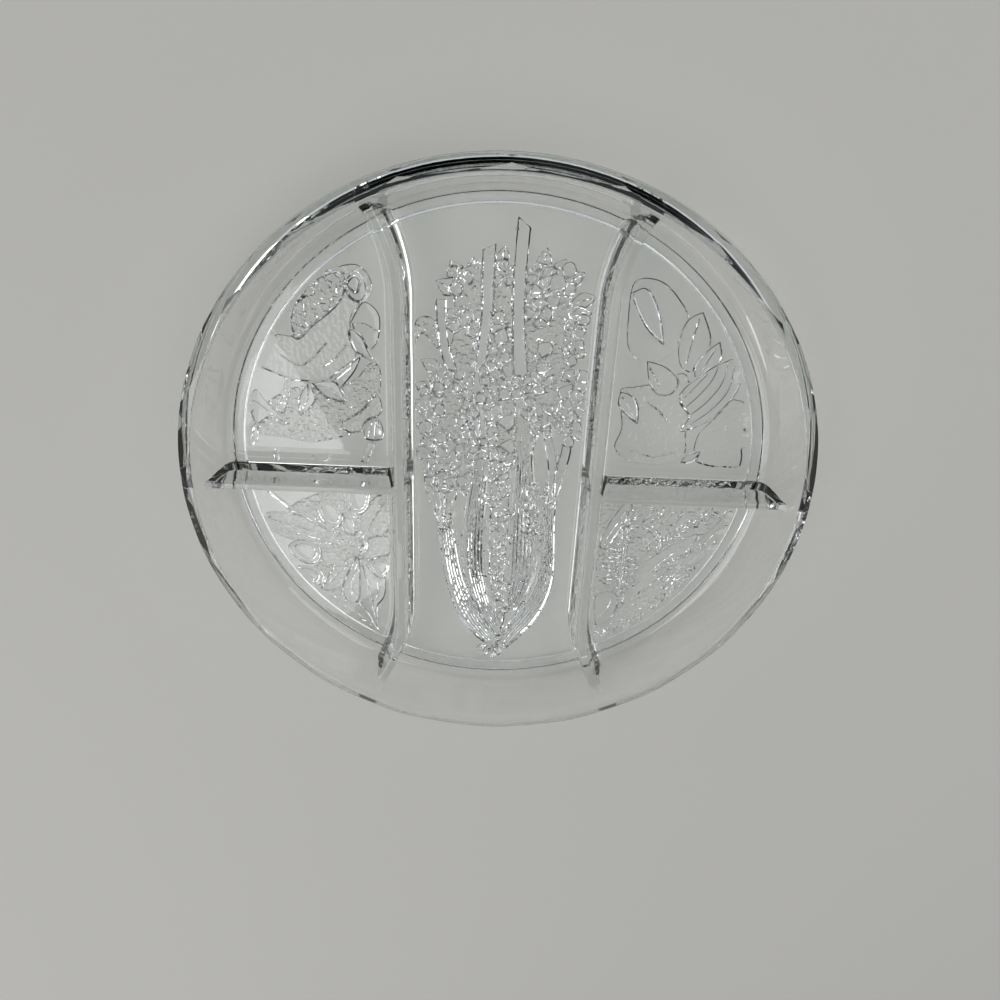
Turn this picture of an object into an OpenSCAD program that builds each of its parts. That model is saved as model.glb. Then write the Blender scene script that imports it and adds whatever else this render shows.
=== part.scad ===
// Round relish tray of thick pressed glass.
// A low foot ring carries a flat floor, a rounded cove and a flaring wall.
// Twenty lens-shaped panels are pressed into the rounded shoulder of the rim.
// Two long dividers and two cross dividers part the floor into five places,
// and vegetables stand in relief on the underside, below each place.
// The origin is the centre of the foot's resting plane, +Z is up, lengths are millimetres.

/* [Tray] */
// Diameter over the rim bead
tray_d = 318; // [280:1:360]
// Height from the table to the top of the rim
tray_h = 36.5; // [33:0.5:44]
// Thickness of the floor
floor_t = 5; // [4:0.5:7]
// Smoothness of the round surfaces
facet_count = 180; // [96:12:240]

/* [Foot] */
// Height of the foot ring under the floor
foot_h = 3; // [2.5:0.5:5]
// Width of the foot ring
foot_w = 7; // [5:0.5:9]
// Distance from the heel of the wall in to the foot ring
foot_set = 3.5; // [3:0.5:5]
// Slope run of each side of the foot ring
foot_draft = 0.8; // [0.4:0.1:1.5]

/* [Wall] */
// How far the inner wall runs outward from the floor edge to the rim
wall_flare = 16; // [14:0.5:20]
// Radius of the cove between the floor and the wall
cove_r = 8; // [6:0.5:9]
// Distance from the floor edge out to the heel of the outer wall
heel_w = 8; // [7:0.5:10]
// Rounding of the heel
heel_round_r = 4; // [2:0.5:5]

/* [Rim] */
// Width of the rim from its inner edge to the widest point
rim_w = 7.5; // [7:0.5:9]
// Radius of the rounded shoulder of the rim
bead_r = 6; // [5:0.5:6.5]
// Rounding of the rim's inner edge
lip_round_r = 1; // [0.5:0.25:1.25]
// Number of panels pressed around the shoulder
panel_count = 20; // [16:1:28]
// Depth of a panel at its middle
panel_depth = 1.25; // [0.8:0.05:1.6]
// How far a panel leans up from facing straight out, in degrees
panel_lean = 55; // [45:1:62]

/* [Dividers] */
// How far the tops of the dividers lie below the rim
divider_drop = 9.5; // [8:0.5:15]
// Rounding along the top edges of the dividers
divider_round_r = 1.3; // [0.5:0.1:1.6]
// Clear floor width of the middle compartment
centre_w = 88; // [76:1:96]
// Width of a long divider at the floor
long_base_w = 12.5; // [9:0.5:15]
// Width of a long divider along its top
long_top_w = 4.4; // [3.6:0.2:6]
// Length of the straight stretch of a long divider
long_straight_l = 176; // [150:2:190]
// Radius of the outward bend at each end of a long divider
long_bend_r = 86; // [70:2:120]
// Width of a cross divider at the floor
cross_base_w = 10; // [8:0.5:13]
// Width of a cross divider along its top
cross_top_w = 4; // [3.4:0.2:5]
// Distance of the cross dividers from the middle of the tray
cross_offset = 8; // [0:0.5:16]

/* [Reliefs] */
// Depth of the lowest relief forms under the floor
relief_low_h = 0.9; // [0.4:0.1:1]
// Depth of the middle relief forms under the floor
relief_mid_h = 1.3; // [1:0.1:1.4]
// Depth of the tallest relief forms under the floor
relief_tall_h = 1.7; // [1.4:0.1:2]
// Distance from the foot ring in to the edge of the relief field
relief_edge_gap = 2; // [1:0.5:8]
// Radius of the middle of a celery leaf, which its lobes stand around
celery_lobe_r = 4; // [3.2:0.1:5]
// Distance between the celery leaves
celery_leaf_pitch = 11.5; // [10:0.5:16]

/* [Hidden] */
$fn = facet_count;

// Overrun of every cutting solid past what it cuts
cut = 1;
// Straight pieces in an oval, along a bent band and around a small circle
oval_steps = 32;
band_steps = 12;
small_facets = 24;
// Colour and clearness of the pressed glass, plain and in the thick or carved places
glass_clear = [0.82, 0.86, 0.84, 0.45];
glass_deep = [0.66, 0.72, 0.69, 0.8];

// Radii and heights that follow from the sizes above
rim_out_r = tray_d / 2;
rim_in_r = rim_out_r - rim_w;
floor_r = rim_in_r - wall_flare;
floor_z = foot_h + floor_t;
heel_r = floor_r + heel_w;
foot_out_r = heel_r - foot_set;
foot_in_r = foot_out_r - foot_w;
bead_c = [rim_out_r - bead_r, tray_h - bead_r];
heel_p = [heel_r, foot_h];
rim_p = [rim_in_r, tray_h];
cove_c = [floor_r, floor_z + cove_r];
// The dividers' height above the floor
divider_h = tray_h - divider_drop - floor_z;

// Direction of the line from an outside point p that touches a circle (c, r),
// which lies on the given side of the line: 1 for the left, -1 for the right
function touch_angle(p, c, r, side) =
    atan2(c[1] - p[1], c[0] - p[0]) - side * asin(r / norm(c - p));
// Point where that line touches the circle
function touch_point(p, c, r, side) =
    p + sqrt(pow(norm(c - p), 2) - r * r)
        * [cos(touch_angle(p, c, r, side)), sin(touch_angle(p, c, r, side))];

// The outer wall rises from the heel and touches the bead's circle,
// the inner wall comes down from the rim and touches the cove's circle
wall_out_angle = touch_angle(heel_p, bead_c, bead_r, 1);
wall_out_p = touch_point(heel_p, bead_c, bead_r, 1);
wall_in_p = touch_point(rim_p, cove_c, cove_r, -1);
// The wall and the rim part where the outer wall meets the bead
split_z = wall_out_p[1];

// Places of the dividers
long_x = centre_w / 2 + long_base_w / 2;
long_outer_x = centre_w + long_base_w - centre_w / 2;
bend_y = long_straight_l / 2;
reach = rim_out_r + cut;
far_r = tray_d;

// Floor size of a side compartment above and below the cross divider
side_w = floor_r - long_outer_x;
side_reach_y = sqrt(floor_r * floor_r - long_outer_x * long_outer_x);
upper_l = side_reach_y + cross_offset - cross_base_w / 2;
lower_l = side_reach_y - cross_offset - cross_base_w / 2;
centre_l = 2 * sqrt(floor_r * floor_r - centre_w * centre_w / 4);
// Length of a side compartment's vegetables above and below the cross divider, as a share of
// their width, and the width: the compartment's own, or what its length leaves room for
upper_length_share = 1.59;
lower_length_share = 1.39;
upper_pattern_w = min(side_w, upper_l / upper_length_share);
lower_pattern_w = min(side_w, lower_l / lower_length_share);

// Rounding of a corner: what a round of radius r leaves over at the corner p
// between the directions a and b, in degrees
module corner_waste(p, a, b, r) {
    half = abs(b - a) / 2;
    run = r / tan(half);
    middle = (a + b) / 2;
    difference() {
        polygon([
            p - cut * [cos(middle), sin(middle)],
            p + run * [cos(a), sin(a)],
            p + r / sin(half) * [cos(middle), sin(middle)],
            p + run * [cos(b), sin(b)]
        ]);
        translate(p + r / sin(half) * [cos(middle), sin(middle)]) circle(r = r);
    }
}

// Half section of the room inside the tray, without the round of the cove
module room_section() {
    polygon([
        [0, floor_z],
        [floor_r, floor_z],
        cove_c,
        wall_in_p,
        rim_p,
        [rim_in_r, tray_h + cut],
        [0, tray_h + cut]
    ]);
}

// Half section of the quarter round that the cove adds to it
module cove_section() {
    intersection() {
        translate(cove_c) circle(r = cove_r);
        translate([floor_r, floor_z]) square([cove_r, cove_r]);
    }
}

// Half sections of all that lies past the flaring wall, and past the cove
module beyond_wall_section() {
    polygon([
        wall_in_p,
        rim_p,
        [rim_in_r, tray_h + cut],
        [far_r, tray_h + cut],
        [far_r, wall_in_p[1]]
    ]);
}

module beyond_cove_section() {
    difference() {
        translate([floor_r, floor_z - cut])
            square([far_r - floor_r, wall_in_p[1] - floor_z + cut]);
        translate(cove_c) circle(r = cove_r);
    }
}

// Half section of the wall and rim together, from the floor edge outward
module wall_section() {
    difference() {
        union() {
            polygon([
                [floor_r, foot_h],
                heel_p,
                wall_out_p,
                bead_c,
                [bead_c[0], tray_h],
                [rim_in_r, tray_h],
                [floor_r, tray_h]
            ]);
            translate(bead_c) circle(r = bead_r);
        }
        room_section();
        cove_section();
        corner_waste(heel_p, wall_out_angle, 180, heel_round_r);
    }
}

// Half section of the round on the rim's inner edge
module lip_waste() {
    wall_dir = atan2(wall_in_p[1] - tray_h, wall_in_p[0] - rim_in_r);
    corner_waste(rim_p, wall_dir, 0, lip_round_r);
}

// The disc of glass under all five compartments
module floor_plate() {
    color(glass_clear)
        translate([0, 0, foot_h]) cylinder(r = floor_r, h = floor_t);
}

// The ring that the tray stands on
module foot_ring() {
    color(glass_deep)
        rotate_extrude() polygon([
            [foot_in_r, foot_h],
            [foot_in_r + foot_draft, 0],
            [foot_out_r - foot_draft, 0],
            [foot_out_r, foot_h]
        ]);
}

// The cove and the flaring wall, up to the bead of the rim
module side_wall() {
    color(glass_clear)
        rotate_extrude() intersection() {
            wall_section();
            square([reach, split_z]);
        }
}

// The rounded shoulder with its ring of lens-shaped panels
module panelled_rim() {
    color(glass_deep)
        difference() {
            rotate_extrude() difference() {
                wall_section();
                square([reach, split_z]);
                lip_waste();
            }
            for (i = [0 : panel_count - 1]) {
                rotate([0, 0, (i + 0.5) * 360 / panel_count]) panel_cutter();
            }
        }
}

// Block whose inner face presses one panel into the shoulder, and its size past the panel's
panel_cutter_share = [4, 1.5];
module panel_cutter() {
    length = panel_cutter_share[0] * bead_r;
    width = panel_cutter_share[1] * rim_out_r * sin(360 / panel_count);
    translate([bead_c[0], 0, bead_c[1]])
        rotate([0, -panel_lean, 0])
            translate([bead_r - panel_depth, -width / 2, -length / 2])
                cube([length, width, length]);
}

// Section across a divider, standing on the floor, with its top edges rounded
module divider_section(base_w, top_w) {
    lean = atan2(divider_h, (base_w - top_w) / 2);
    difference() {
        polygon([
            [-base_w / 2, 0],
            [base_w / 2, 0],
            [top_w / 2, divider_h],
            [-top_w / 2, divider_h]
        ]);
        corner_waste([top_w / 2, divider_h], -lean, -180, divider_round_r);
        corner_waste([-top_w / 2, divider_h], -180 + lean, 0, divider_round_r);
    }
}

// The straight stretch of the right long divider
module straight_ridge() {
    translate([long_x, bend_y, floor_z]) rotate([90, 0, 0])
        linear_extrude(long_straight_l) divider_section(long_base_w, long_top_w);
}

// Its outward bend at the lower end, run on past the wall
module bent_ridge() {
    sweep = asin(min(1, (reach - bend_y) / long_bend_r));
    translate([long_x + long_bend_r, -bend_y, floor_z])
        rotate([0, 0, 180]) rotate_extrude(angle = sweep)
            translate([long_bend_r, 0]) divider_section(long_base_w, long_top_w);
}

// Ends a divider where it meets the cove and the wall
module fitted() {
    difference() {
        children();
        rotate_extrude() beyond_wall_section();
        rotate_extrude() beyond_cove_section();
    }
}

module right_long_divider_form() {
    fitted() {
        straight_ridge();
        bent_ridge();
        mirror([0, 1, 0]) bent_ridge();
    }
}

module long_divider_left() {
    color(glass_deep) mirror([1, 0, 0]) right_long_divider_form();
}

module long_divider_right() {
    color(glass_deep) right_long_divider_form();
}

// The right cross divider, from the side of the long one out to the wall
module right_cross_divider_form() {
    difference() {
        fitted() translate([long_x, -cross_offset, floor_z]) rotate([90, 0, 90])
            linear_extrude(reach - long_x) divider_section(cross_base_w, cross_top_w);
        straight_ridge();
    }
}

module cross_divider_left() {
    color(glass_deep) mirror([1, 0, 0]) right_cross_divider_form();
}

module cross_divider_right() {
    color(glass_deep) right_cross_divider_form();
}

// Flat shapes hanging under the floor by a depth, kept within the relief field
module relief(depth) {
    translate([0, 0, foot_h - depth]) linear_extrude(depth) intersection() {
        union() children();
        circle(r = foot_in_r - relief_edge_gap);
    }
}

// Leaf between two arcs, pointed at both ends, lying along X and centred
module leaf(length, width) {
    arc_r = (length * length + width * width) / (4 * width);
    intersection() {
        translate([0, arc_r - width / 2]) circle(r = arc_r);
        translate([0, width / 2 - arc_r]) circle(r = arc_r);
    }
}

// Oval outline, lying along X
module oval(length, width) {
    polygon([for (i = [0 : oval_steps - 1])
        let (a = i * 360 / oval_steps) [length / 2 * cos(a), width / 2 * sin(a)]]);
}

// Point at the share t of a curve from p through the pull of q to s
function bend_point(p, q, s, t) = (1 - t) * (1 - t) * p + 2 * t * (1 - t) * q + t * t * s;
function bend_normal(p, q, s, t) =
    let (d = (1 - t) * (q - p) + t * (s - q)) [-d[1], d[0]] / norm(d);

// Band along such a curve, whose width goes from w0 to w1
module band(p, q, s, w0, w1) {
    polygon(concat(
        [for (i = [0 : band_steps]) let (t = i / band_steps)
            bend_point(p, q, s, t) + (w0 + (w1 - w0) * t) / 2 * bend_normal(p, q, s, t)],
        [for (i = [band_steps : -1 : 0]) let (t = i / band_steps)
            bend_point(p, q, s, t) - (w0 + (w1 - w0) * t) / 2 * bend_normal(p, q, s, t)]
    ));
}

// Lobes around a middle, as a celery leaf has. A lobe's radius is a share of the leaf's.
lobe_count = 5;
lobe_share = 0.8;
module lobed_leaf(r, turn) {
    for (i = [0 : lobe_count - 1]) {
        rotate(turn + i * 360 / lobe_count)
            translate([r, 0]) circle(r = r * lobe_share, $fn = small_facets);
    }
    circle(r = r, $fn = small_facets);
}

// Carrot, its crown at the start of X and its tip cut short at the far end
carrot_form_share = [0.54, 0.5, 0.1];
module carrot_form(length, width) {
    circle(r = carrot_form_share[0] * width, $fn = small_facets);
    polygon([
        [0, carrot_form_share[1] * width],
        [0, -carrot_form_share[1] * width],
        [length, -carrot_form_share[2] * width],
        [length, carrot_form_share[2] * width]
    ]);
}

// Place at shares of a side compartment's vegetables, from the corner of its dividers outward.
// side is 1 for the right and -1 for the left, end is 1 for above the cross divider and -1 for below.
function pattern_w(end) = end > 0 ? upper_pattern_w : lower_pattern_w;
function pattern_l(end) = pattern_w(end) * (end > 0 ? upper_length_share : lower_length_share);
function panel_place(side, end, place) = [
    side * (long_outer_x + place[0] * pattern_w(end)),
    -cross_offset + end * (cross_base_w / 2 + place[1] * pattern_l(end))
];

module in_side_panel(side, end, place, turn) {
    translate(panel_place(side, end, place)) rotate(side > 0 ? turn : 180 - turn) children();
}

// Leaves and ovals of a side compartment: place, length, width and turn of each row,
// the lengths and widths as shares of the pattern's width
module panel_leaves(side, end, rows) {
    for (l = rows) in_side_panel(side, end, l[0], l[3]) leaf(l[1] * pattern_w(end), l[2] * pattern_w(end));
}

module panel_ovals(side, end, rows) {
    for (o = rows) in_side_panel(side, end, o[0], o[3]) oval(o[1] * pattern_w(end), o[2] * pattern_w(end));
}

// Shares of the middle compartment's half width and half length
function centre_place(share) = [share[0] * centre_w / 2, share[1] * centre_l / 2];

// Celery: start, pull and end of each stalk as centre shares, then its width shares and depth
celery_stalk_shares = [
    [[0.08, -0.98], [-0.66, -0.86], [-0.62, -0.2], 0.09, 0.11, 0],
    [[0.1, -0.97], [0.84, -0.88], [0.66, -0.06], 0.09, 0.1, 0],
    [[0.12, -0.92], [-0.32, -0.8], [-0.28, -0.06], 0.09, 0.15, 1],
    [[0.18, -0.84], [0.44, -0.7], [0.36, -0.06], 0.08, 0.17, 1],
    [[0.15, -0.84], [0.05, -0.5], [0.03, 0.16], 0.04, 0.1, 0],
    [[-0.62, -0.22], [-0.86, -0.16], [-0.9, 0.0], 0.08, 0.06, 1],
    [[-0.62, -0.22], [-0.5, -0.14], [-0.38, -0.02], 0.08, 0.05, 1],
    [[0.66, -0.08], [0.62, 0.06], [0.6, 0.2], 0.07, 0.05, 1],
    [[0.68, -0.1], [0.86, 0.02], [0.84, 0.2], 0.07, 0.05, 1],
    [[0.44, 0.08], [0.08, 0.5], [0.18, 0.98], 0.11, 0.07, 2],
    [[-0.18, 0.3], [-0.2, 0.6], [-0.19, 0.9], 0.06, 0.07, 2],
    [[-0.26, 0.14], [-0.68, 0.4], [-0.7, 0.69], 0.07, 0.06, 2],
    [[0.6, 0.3], [0.7, 0.5], [0.65, 0.78], 0.05, 0.06, 1]
];
// Middle and half size of the leafy head, and the leafy strip below it
celery_head_share = [-0.02, 0.36];
celery_head_half_share = [0.94, 0.5];
celery_strip_shares = [
    [0.04, -0.14], [0.05, -0.22], [0.02, -0.3], [0.06, -0.38],
    [0.02, -0.46], [0.08, -0.54], [0.08, -0.62], [0.12, -0.7]
];
// Small leaves of the strip, as a share of a full one, and the turn from leaf to leaf
strip_leaf_share = 0.7;
leaf_turn = [31, 17];

module celery_relief() {
    depths = [relief_low_h, relief_mid_h, relief_tall_h];
    head = centre_place(celery_head_share);
    half = centre_place(celery_head_half_share);
    rows = ceil(half[1] / celery_leaf_pitch);
    columns = ceil(half[0] / celery_leaf_pitch);
    color(glass_deep) {
        for (s = celery_stalk_shares) {
            relief(depths[s[5]])
                band(centre_place(s[0]), centre_place(s[1]), centre_place(s[2]),
                    s[3] * centre_w, s[4] * centre_w);
        }
        relief(relief_low_h) {
            for (row = [-rows : rows]) {
                for (column = [-columns : columns]) {
                    x = (column + (abs(row) % 2) / 2) * celery_leaf_pitch;
                    y = row * celery_leaf_pitch;
                    if (pow(x / half[0], 2) + pow(y / half[1], 2) < 1) {
                        translate([head[0] + x, head[1] + y])
                            lobed_leaf(celery_lobe_r, row * leaf_turn[0] + column * leaf_turn[1]);
                    }
                }
            }
            for (i = [0 : len(celery_strip_shares) - 1]) {
                translate(centre_place(celery_strip_shares[i]))
                    lobed_leaf(celery_lobe_r * strip_leaf_share, i * leaf_turn[0]);
            }
        }
    }
}

// Cucumber: the cut body and the leafy ground, the seeds, then the leaves
cucumber_body_shares = [
    [[0.46, 0.586], 0.98, 0.48, 133],
    [[0.49, 0.166], 0.84, 0.32, 176],
    [[0.16, 0.29], 0.48, 0.2, 80]
];
cucumber_seed_shares = [[[0.42, 0.66], 0.54, 0.24, 133]];
cucumber_leaf_shares = [
    [[0.15, 0.53], 0.48, 0.15, 62],
    [[0.55, 0.29], 0.34, 0.12, 108],
    [[0.37, 0.32], 0.34, 0.17, 45],
    [[0.7, 0.29], 0.36, 0.09, 109],
    [[0.8, 0.22], 0.42, 0.16, 34],
    [[0.12, 0.17], 0.28, 0.12, 117],
    [[0.9, 0.1], 0.24, 0.08, 117],
    [[0.75, 0.06], 0.2, 0.06, 95]
];

module cucumber_relief() {
    color(glass_deep) {
        relief(relief_mid_h) panel_ovals(-1, 1, cucumber_body_shares);
        relief(relief_tall_h) panel_ovals(-1, 1, cucumber_seed_shares);
        relief(relief_low_h) panel_leaves(-1, 1, cucumber_leaf_shares);
    }
}

// Onion: the cut half and the whole bulb, the pod, the leaves and the frill of a lettuce
onion_bulb_shares = [
    [[0.23, 0.68], 0.5, 0.42, 80],
    [[0.3, 0.27], 0.72, 0.5, 85]
];
onion_pod_share = [[0.5, 0.2], [0.94, 0.38], [0.56, 0.56]];
onion_pod_width_share = [0.08, 0.14];
onion_leaf_shares = [
    [[0.25, 0.52], 0.5, 0.13, 92],
    [[0.46, 0.58], 0.46, 0.18, 76],
    [[0.56, 0.5], 0.36, 0.15, 49],
    [[0.5, 0.33], 0.42, 0.12, 110],
    [[0.56, 0.14], 0.5, 0.14, 170],
    [[0.28, 0.08], 0.48, 0.1, 168]
];
frill_shares = [
    [[0.84, 0.24], 0.5, 0.24, 92],
    [[0.9, 0.31], 0.2, 0.15, 40],
    [[0.92, 0.2], 0.2, 0.15, 150],
    [[0.88, 0.08], 0.24, 0.16, 20],
    [[0.74, 0.1], 0.3, 0.16, 120]
];

module onion_relief() {
    color(glass_deep) {
        relief(relief_tall_h) {
            panel_ovals(1, 1, onion_bulb_shares);
            band(panel_place(1, 1, onion_pod_share[0]), panel_place(1, 1, onion_pod_share[1]),
                panel_place(1, 1, onion_pod_share[2]),
                onion_pod_width_share[0] * upper_pattern_w, onion_pod_width_share[1] * upper_pattern_w);
        }
        relief(relief_mid_h) panel_ovals(1, 1, frill_shares);
        relief(relief_low_h) panel_leaves(1, 1, onion_leaf_shares);
    }
}

// Olives: the fruit, then the leaves and the twigs of the sprig
olive_shares = [
    [[0.42, 0.2], 0.25, 0.18, 75],
    [[0.63, 0.43], 0.24, 0.2, 40],
    [[0.62, 0.575], 0.23, 0.18, 30],
    [[0.25, 0.12], 0.26, 0.17, 88],
    [[0.11, 0.51], 0.17, 0.14, 60]
];
olive_leaf_shares = [
    [[0.66, 0.305], 0.64, 0.18, 22],
    [[0.13, 0.22], 0.4, 0.16, 117],
    [[0.11, 0.38], 0.3, 0.12, 131],
    [[0.165, 0.72], 0.76, 0.17, 83],
    [[0.35, 0.81], 0.72, 0.16, 30],
    [[0.38, 0.53], 0.36, 0.1, 137]
];
olive_twig_shares = [
    [[0.21, 0.33], 0.5, 0.05, 94],
    [[0.38, 0.43], 0.48, 0.05, 10],
    [[0.68, 0.19], 0.5, 0.05, 44],
    [[0.41, 0.32], 0.32, 0.05, 100],
    [[0.16, 0.47], 0.28, 0.05, 110],
    [[0.47, 0.55], 0.4, 0.05, 20]
];

module olive_relief() {
    color(glass_deep) {
        relief(relief_tall_h) panel_ovals(-1, -1, olive_shares);
        relief(relief_low_h) panel_leaves(-1, -1, olive_leaf_shares);
        relief(relief_mid_h) panel_leaves(-1, -1, olive_twig_shares);
    }
}

// Carrots: crown place, tip turn, length and crown width, then the feathery tops and the fern
carrot_shares = [
    [[0.12, 0.07], 272, 0.78, 0.15],
    [[0.26, 0.06], 267, 0.88, 0.15],
    [[0.4, 0.1], 265, 0.86, 0.13]
];
carrot_top_shares = [
    [[0.4, 0.3], 0.8, 0.06, 70],
    [[0.5, 0.3], 0.76, 0.06, 63],
    [[0.6, 0.28], 0.72, 0.06, 57],
    [[0.68, 0.25], 0.66, 0.06, 51],
    [[0.52, 0.5], 0.74, 0.07, 43],
    [[0.06, 0.72], 0.36, 0.14, 50],
    [[0.3, 0.72], 0.5, 0.12, 40]
];
// The fern's leaves: the first one's place, the step to the next, and their size and turn
fern_share = [[0.48, 0.6], [0.065, -0.06]];
fern_leaf_share = [0.26, 0.07, -40];
fern_leaf_count = 6;

module carrot_relief() {
    color(glass_deep) {
        relief(relief_tall_h) {
            for (c = carrot_shares) {
                in_side_panel(1, -1, c[0], c[1]) carrot_form(c[2] * lower_pattern_w, c[3] * lower_pattern_w);
            }
        }
        relief(relief_low_h) {
            panel_leaves(1, -1, carrot_top_shares);
            for (i = [0 : fern_leaf_count - 1]) {
                in_side_panel(1, -1, fern_share[0] + i * fern_share[1], fern_leaf_share[2])
                    leaf(fern_leaf_share[0] * lower_pattern_w, fern_leaf_share[1] * lower_pattern_w);
            }
        }
    }
}

floor_plate();
foot_ring();
side_wall();
panelled_rim();
long_divider_left();
long_divider_right();
cross_divider_left();
cross_divider_right();
celery_relief();
cucumber_relief();
onion_relief();
olive_relief();
carrot_relief();
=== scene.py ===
# Relish tray: a round tray of clear pressed glass with five places for relishes.
# The whole tray is one closed piece of glass, as the real one comes out of one mould.
import math
from types import SimpleNamespace

import bpy
import numpy as np
from bpy.props import FloatProperty, FloatVectorProperty, IntProperty, PointerProperty
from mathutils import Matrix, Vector
from mathutils.geometry import delaunay_2d_cdt


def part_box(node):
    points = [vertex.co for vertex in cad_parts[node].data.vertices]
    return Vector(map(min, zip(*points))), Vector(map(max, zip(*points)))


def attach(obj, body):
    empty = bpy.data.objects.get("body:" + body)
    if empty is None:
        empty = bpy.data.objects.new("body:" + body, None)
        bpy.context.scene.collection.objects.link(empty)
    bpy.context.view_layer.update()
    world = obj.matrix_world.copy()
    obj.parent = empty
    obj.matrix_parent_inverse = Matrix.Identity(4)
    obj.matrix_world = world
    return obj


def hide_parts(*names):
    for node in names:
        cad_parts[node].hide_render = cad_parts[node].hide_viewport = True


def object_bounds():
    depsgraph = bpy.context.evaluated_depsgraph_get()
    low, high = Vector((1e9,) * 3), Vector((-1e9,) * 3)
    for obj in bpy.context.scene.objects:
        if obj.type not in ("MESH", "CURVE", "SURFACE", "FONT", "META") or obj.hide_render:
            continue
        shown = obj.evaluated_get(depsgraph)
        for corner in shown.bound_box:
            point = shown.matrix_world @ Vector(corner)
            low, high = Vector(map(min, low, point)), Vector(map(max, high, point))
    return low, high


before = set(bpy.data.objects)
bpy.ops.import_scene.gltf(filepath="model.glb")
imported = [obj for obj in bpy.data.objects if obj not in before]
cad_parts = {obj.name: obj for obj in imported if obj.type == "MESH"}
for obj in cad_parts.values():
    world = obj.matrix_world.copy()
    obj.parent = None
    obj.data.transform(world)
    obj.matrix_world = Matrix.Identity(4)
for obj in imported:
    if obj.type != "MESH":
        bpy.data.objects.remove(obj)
CAD_BOX = [list(corner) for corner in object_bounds()]
FLOOR_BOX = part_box("floor_plate")
FOOT_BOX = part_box("foot_ring")

bl_info = {
    "name": "Relish Tray",
    "version": (1, 0, 0),
    "blender": (4, 5, 0),
    "location": "View3D > Sidebar > Relish Tray",
    "description": "Models a round relish tray of pressed glass around its packed frame",
    "category": "Object",
}

MM = 0.001
# Mesh points closer than this, in millimetres, are one point
WELD_GAP = 0.01


# Colours and sizes

def linear(hex_colour):
    """Linear red, green and blue of an sRGB hex colour."""
    shares = [int(hex_colour[i:i + 2], 16) / 255 for i in (1, 3, 5)]
    return [s / 12.92 if s <= 0.04045 else ((s + 0.055) / 1.055) ** 2.4 for s in shares]


def size(name, description, value_mm):
    """A length property, given in millimetres and kept in metres."""
    return FloatProperty(
        name=name, description=description, default=value_mm * MM,
        min=0.0, max=1.0, unit="LENGTH", subtype="DISTANCE", precision=4,
    )


def colour(name, description, hex_colour):
    """A colour property with its default in sRGB hex."""
    return FloatVectorProperty(
        name=name, description=description, default=linear(hex_colour),
        subtype="COLOR", size=3, min=0.0, max=1.0,
    )


def in_mm(group):
    """The group's values by name, with its lengths in millimetres."""
    values = {}
    for prop in group.bl_rna.properties:
        if prop.identifier in ("rna_type", "name"):
            continue
        value = getattr(group, prop.identifier)
        values[prop.identifier] = value / MM if prop.unit == "LENGTH" else value
    return SimpleNamespace(**values)


class RelishTrayBody(bpy.types.PropertyGroup):
    """Sizes of the floor, foot, wall and rim"""
    diameter: size("Diameter", "Width over the rim bead", (CAD_BOX[1][0] - CAD_BOX[0][0]) / MM)
    height: size("Height", "From the table to the top of the rim", CAD_BOX[1][2] / MM)
    floor_underside: size("Floor underside", "Height of the floor's underside", FLOOR_BOX[0][2] / MM)
    floor_top: size("Floor top", "Height of the floor that food lies on", FLOOR_BOX[1][2] / MM)
    floor_radius: size("Floor radius", "Where the floor ends and the cove starts", FLOOR_BOX[1][0] / MM)
    foot_radius: size("Foot radius", "Outer radius of the foot ring", FOOT_BOX[1][0] / MM)
    foot_width: size("Foot width", "Width of the foot ring", 7)
    foot_draft: size("Foot draft", "Slope run of each side of the foot", 0.8)
    foot_round: size("Foot rounding", "Rounding of the foot's edges", 0.8)
    cove_radius: size("Cove radius", "Cove between the floor and the wall", 8)
    heel_width: size("Heel width", "From the floor edge out to the heel", 8)
    heel_round: size("Heel rounding", "Rounding under the wall", 4)
    rim_width: size("Rim width", "From the inner edge to the widest point", 7.5)
    bead_radius: size("Bead radius", "Rounded shoulder of the rim", 6)
    lip_round: size("Lip rounding", "Rounding of the rim's inner edge", 1)
    panel_count: IntProperty(
        name="Panels", description="Lens-shaped panels around the rim", default=20, min=12, max=30)
    panel_depth: size("Panel depth", "Depth of a panel at its middle", 1.25)
    panel_lean: FloatProperty(
        name="Panel lean", description="How far a panel leans up from facing out",
        default=math.radians(55), subtype="ANGLE", unit="ROTATION")


class RelishTrayDividers(bpy.types.PropertyGroup):
    """Sizes of the long and the cross dividers"""
    height: size("Height", "Height above the floor", 19)
    round_radius: size("Top rounding", "Rounding along the top edges", 1.3)
    foot_fillet: size("Foot fillet", "Fillet between a divider and the floor", 2)
    flute: size("Flute depth", "Half the depth of the fine flutes along a divider's sides", 0.3)
    flute_pitch: size("Flute pitch", "Distance between those flutes in plan", 1.4)
    long_x: size("Long divider place", "From the middle to a long divider", 50.25)
    long_base: size("Long base", "Width of a long divider at the floor", 12.5)
    long_top: size("Long top", "Width of a long divider along its top", 4.4)
    straight: size("Straight length", "Straight stretch of a long divider", 176)
    bend_radius: size("Bend radius", "Outward bend at each end", 86)
    cross_y: FloatProperty(
        name="Cross divider place", description="From the middle to the cross dividers",
        default=-8 * MM, unit="LENGTH", subtype="DISTANCE", precision=4)
    cross_base: size("Cross base", "Width of a cross divider at the floor", 10)
    cross_top: size("Cross top", "Width of a cross divider along its top", 4)


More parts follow.
